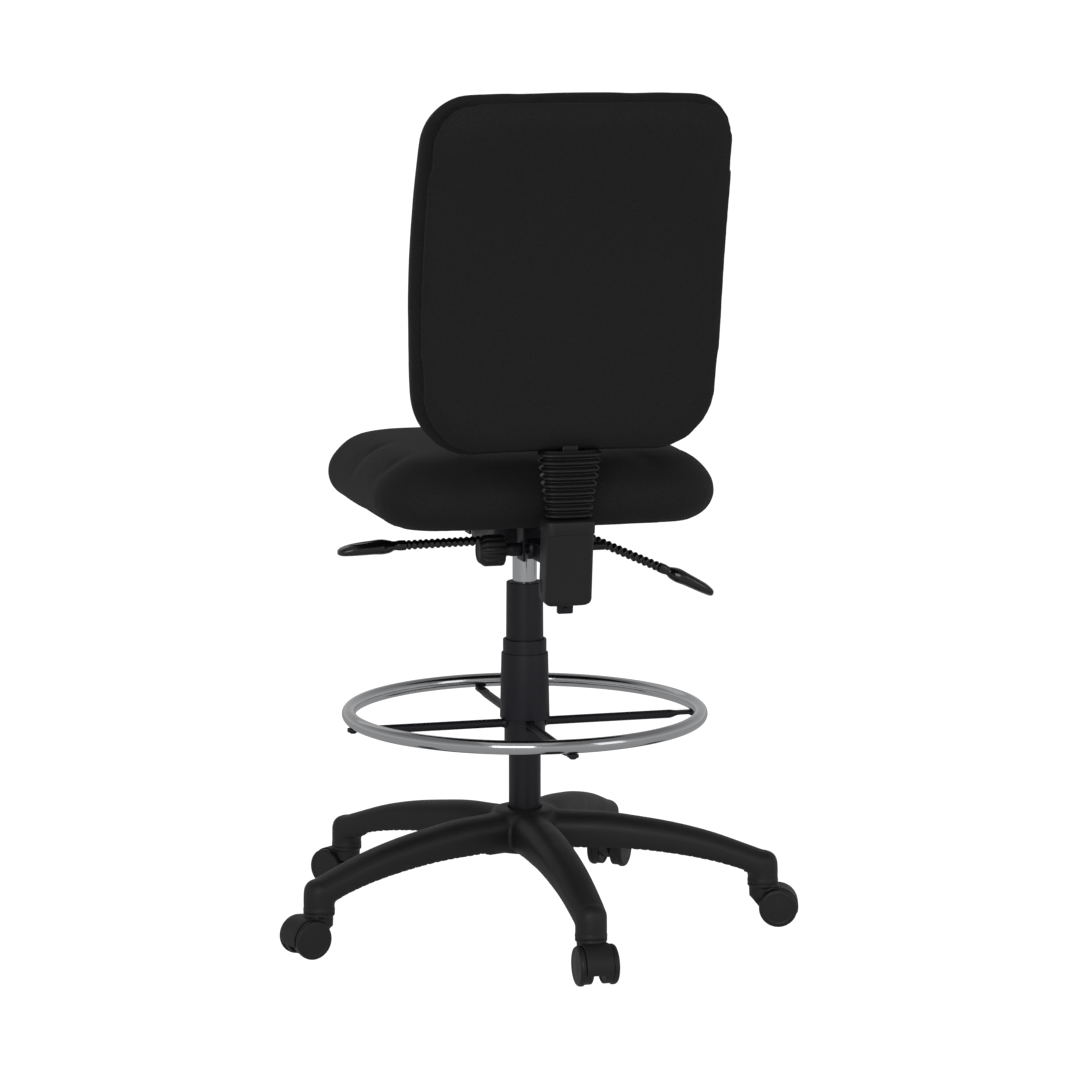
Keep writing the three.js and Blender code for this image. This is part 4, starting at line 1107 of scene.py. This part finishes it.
def add_back():
    edge = np.linspace(0, 1, 12) * math.pi / 2
    front = [[-0.040 + 0.026 * (1 - math.cos(a)), 0.050 * (1 - math.sin(a)) ** 1.2 - 0.001] for a in edge]
    cushion = back_pad(front + [
        [-0.006, -0.0030], [0.0040, -0.0035], [0.0082, -0.0020], [0.0092, 0.002], [0.0090, 0.010],
        [0.0088, 0.030],
    ])
    piece = inflated("front_pad", cushion, 0.0045, 0.004)
    finish_piece(piece, fabric, "back", ["back_cushion"], 80)
    rear_start, rear_end = 0.0235, 0.0445
    rounded = [[rear_start + (rear_end - 0.004 - rear_start) * math.sin(a) ** 1.1,
                0.0030 + 0.044 * (1 - math.cos(a)) ** 1.3] for a in edge]
    shell = back_pad([[rear_start, 0.030], [rear_start, 0.0075]] + rounded, 0.0015)
    piece = inflated("rear_pad", shell, 0.0045, 0.003)
    finish_piece(piece, fabric, "back", ["back_shell"], 80)


seat_low, seat_high = box("seat_cushion")


def seat_ring(z, inset, count=160):
    """The seat's outline pulled in by the inset; its height falls away towards the front
    edge with the square of the distance."""
    outline = rounded_outline(0.217 - inset, seat_low[1] + inset, seat_high[1] - inset,
                              max(0.085 - inset, 0.015), max(0.075 - inset, 0.015), count)
    x, y = outline[:, 0], outline[:, 1]
    height = max(0.0, z - 0.577) / 0.057
    forward = np.maximum(0, column_y - 0.150 - y) / 0.100
    return np.stack([x, y, z - 0.014 * height * forward ** 2], 1)


def add_seat():
    """Seat pad, kept flat under the plywood, and the dust cloth over its underside."""
    underside = 0.541
    levels = [
        [0.5410, 0.030], [0.5408, 0.022], [0.5425, 0.013], [0.5480, 0.0035], [0.5580, -0.0050],
        [0.5700, -0.0090], [0.5830, -0.0085], [0.5950, -0.0030], [0.6055, 0.0070], [0.6140, 0.017],
        [0.6200, 0.031], [0.6240, 0.048], [0.6268, 0.075], [0.6285, 0.105], [0.6290, 0.140],
        [0.6290, 0.180],
    ]
    under = [[underside, inset] for inset in (0.180, 0.130, 0.080)]
    shape = skin([seat_ring(z, inset) for z, inset in under + levels])
    piece = inflated("seat_pad", shape, 0.005, 0.006)
    for vertex in piece.data.vertices:
        vertex.co.z = max(vertex.co.z, underside)
    finish_piece(piece, fabric, "seat", ["seat_cushion"], 80)
    sheet = skin([seat_ring(z, inset) for z, inset in (
        (0.5400, 0.180), (0.5400, 0.130), (0.5400, 0.080), (0.5400, 0.038), (0.5404, 0.0355),
        (0.5412, 0.0355), (0.5420, 0.038), (0.5420, 0.080), (0.5420, 0.130), (0.5420, 0.180),
    )])
    cloth = new_object("dust_cloth", sheet)
    finish_piece(cloth, dust_cloth, "seat", ["seat_board"], 40)


add_back()
add_seat()

# Studio


def add_floor():
    reach = 30
    corners = [(-reach, -reach, 0), (reach, -reach, 0), (reach, reach, 0), (-reach, reach, 0)]
    mesh = bpy.data.meshes.new("floor")
    mesh.from_pydata(corners, [], [(0, 1, 2, 3)])
    floor = bpy.data.objects.new("floor", mesh)
    scene.collection.objects.link(floor)
    material, tree, shader = new_material("white_sweep", Roughness=0.9)
    shader.inputs["Base Color"].default_value = linear("#b8b8b8")
    shader.inputs["Specular IOR Level"].default_value = 0.0
    burnt_out = add_node(tree, "ShaderNodeEmission", None, {"Color": (1, 1, 1, 1), "Strength": 1.1})
    path = add_node(tree, "ShaderNodeLightPath")
    glossy = calc(tree, "MULTIPLY", path.outputs["Is Glossy Ray"], 0.2)
    shown = calc(tree, "MAXIMUM", path.outputs["Is Camera Ray"], glossy)
    mix = add_node(tree, "ShaderNodeMixShader", None, {"Fac": shown})
    tree.links.new(shader.outputs["BSDF"], mix.inputs[1])
    tree.links.new(burnt_out.outputs["Emission"], mix.inputs[2])
    output = next(node for node in tree.nodes if node.bl_idname == "ShaderNodeOutputMaterial")
    tree.links.new(mix.outputs["Shader"], output.inputs["Surface"])
    mesh.materials.append(material)


def add_world():
    """White surround for the eye; for reflections and light it is bright at the horizon
    and falls to grey above, as a studio's walls and dim ceiling do."""
    world = bpy.data.worlds.new("studio")
    scene.world = world
    world.use_nodes = True
    tree = world.node_tree
    tree.nodes.clear()
    place = add_node(tree, "ShaderNodeTexCoord").outputs["Generated"]
    split = add_node(tree, "ShaderNodeSeparateXYZ", None, {"Vector": place})
    ramp = add_node(tree, "ShaderNodeValToRGB", None, {"Fac": split.outputs["Z"]})
    ramp.color_ramp.elements[0].position = 0.0
    ramp.color_ramp.elements[0].color = (0.9, 0.9, 0.9, 1)
    ramp.color_ramp.elements[1].position = 0.7
    ramp.color_ramp.elements[1].color = (0.35, 0.35, 0.35, 1)
    lit = add_node(tree, "ShaderNodeBackground", None, {"Color": ramp.outputs["Color"], "Strength": 0.52})
    seen = add_node(tree, "ShaderNodeBackground", None, {"Color": (1, 1, 1, 1), "Strength": 1.1})
    path = add_node(tree, "ShaderNodeLightPath")
    mix = add_node(tree, "ShaderNodeMixShader", None, {"Fac": path.outputs["Is Camera Ray"]})
    tree.links.new(lit.outputs["Background"], mix.inputs[1])
    tree.links.new(seen.outputs["Background"], mix.inputs[2])
    output = add_node(tree, "ShaderNodeOutputWorld")
    tree.links.new(mix.outputs["Shader"], output.inputs["Surface"])


def add_area(name, place, aim, size, power):
    data = bpy.data.lights.new(name, "AREA")
    data.shape = "RECTANGLE"
    data.size, data.size_y = size
    data.energy = power
    light = bpy.data.objects.new(name, data)
    scene.collection.objects.link(light)
    light.location = place
    way = np.array(aim, float) - np.array(place, float)
    azimuth = math.atan2(way[1], way[0])
    tilt = math.atan2(math.hypot(way[0], way[1]), -way[2])
    light.rotation_euler = (tilt, 0, azimuth - math.pi / 2)


def add_lights():
    aim = (0, 0, 0.6)
    add_area("key", (1.7, 4.1, 2.0), aim, (2.0, 2.0), 30)
    add_area("top", (0.6, 1.6, 3.6), aim, (2.4, 2.4), 3.5)
    add_area("fill", (-2.6, 3.2, 1.6), aim, (1.4, 2.2), 8)
    add_area("back", (0.4, -3.2, 2.6), aim, (2.4, 1.6), 2.5)


add_floor()
add_world()
add_lights()
scene.view_settings.view_transform = "Standard"
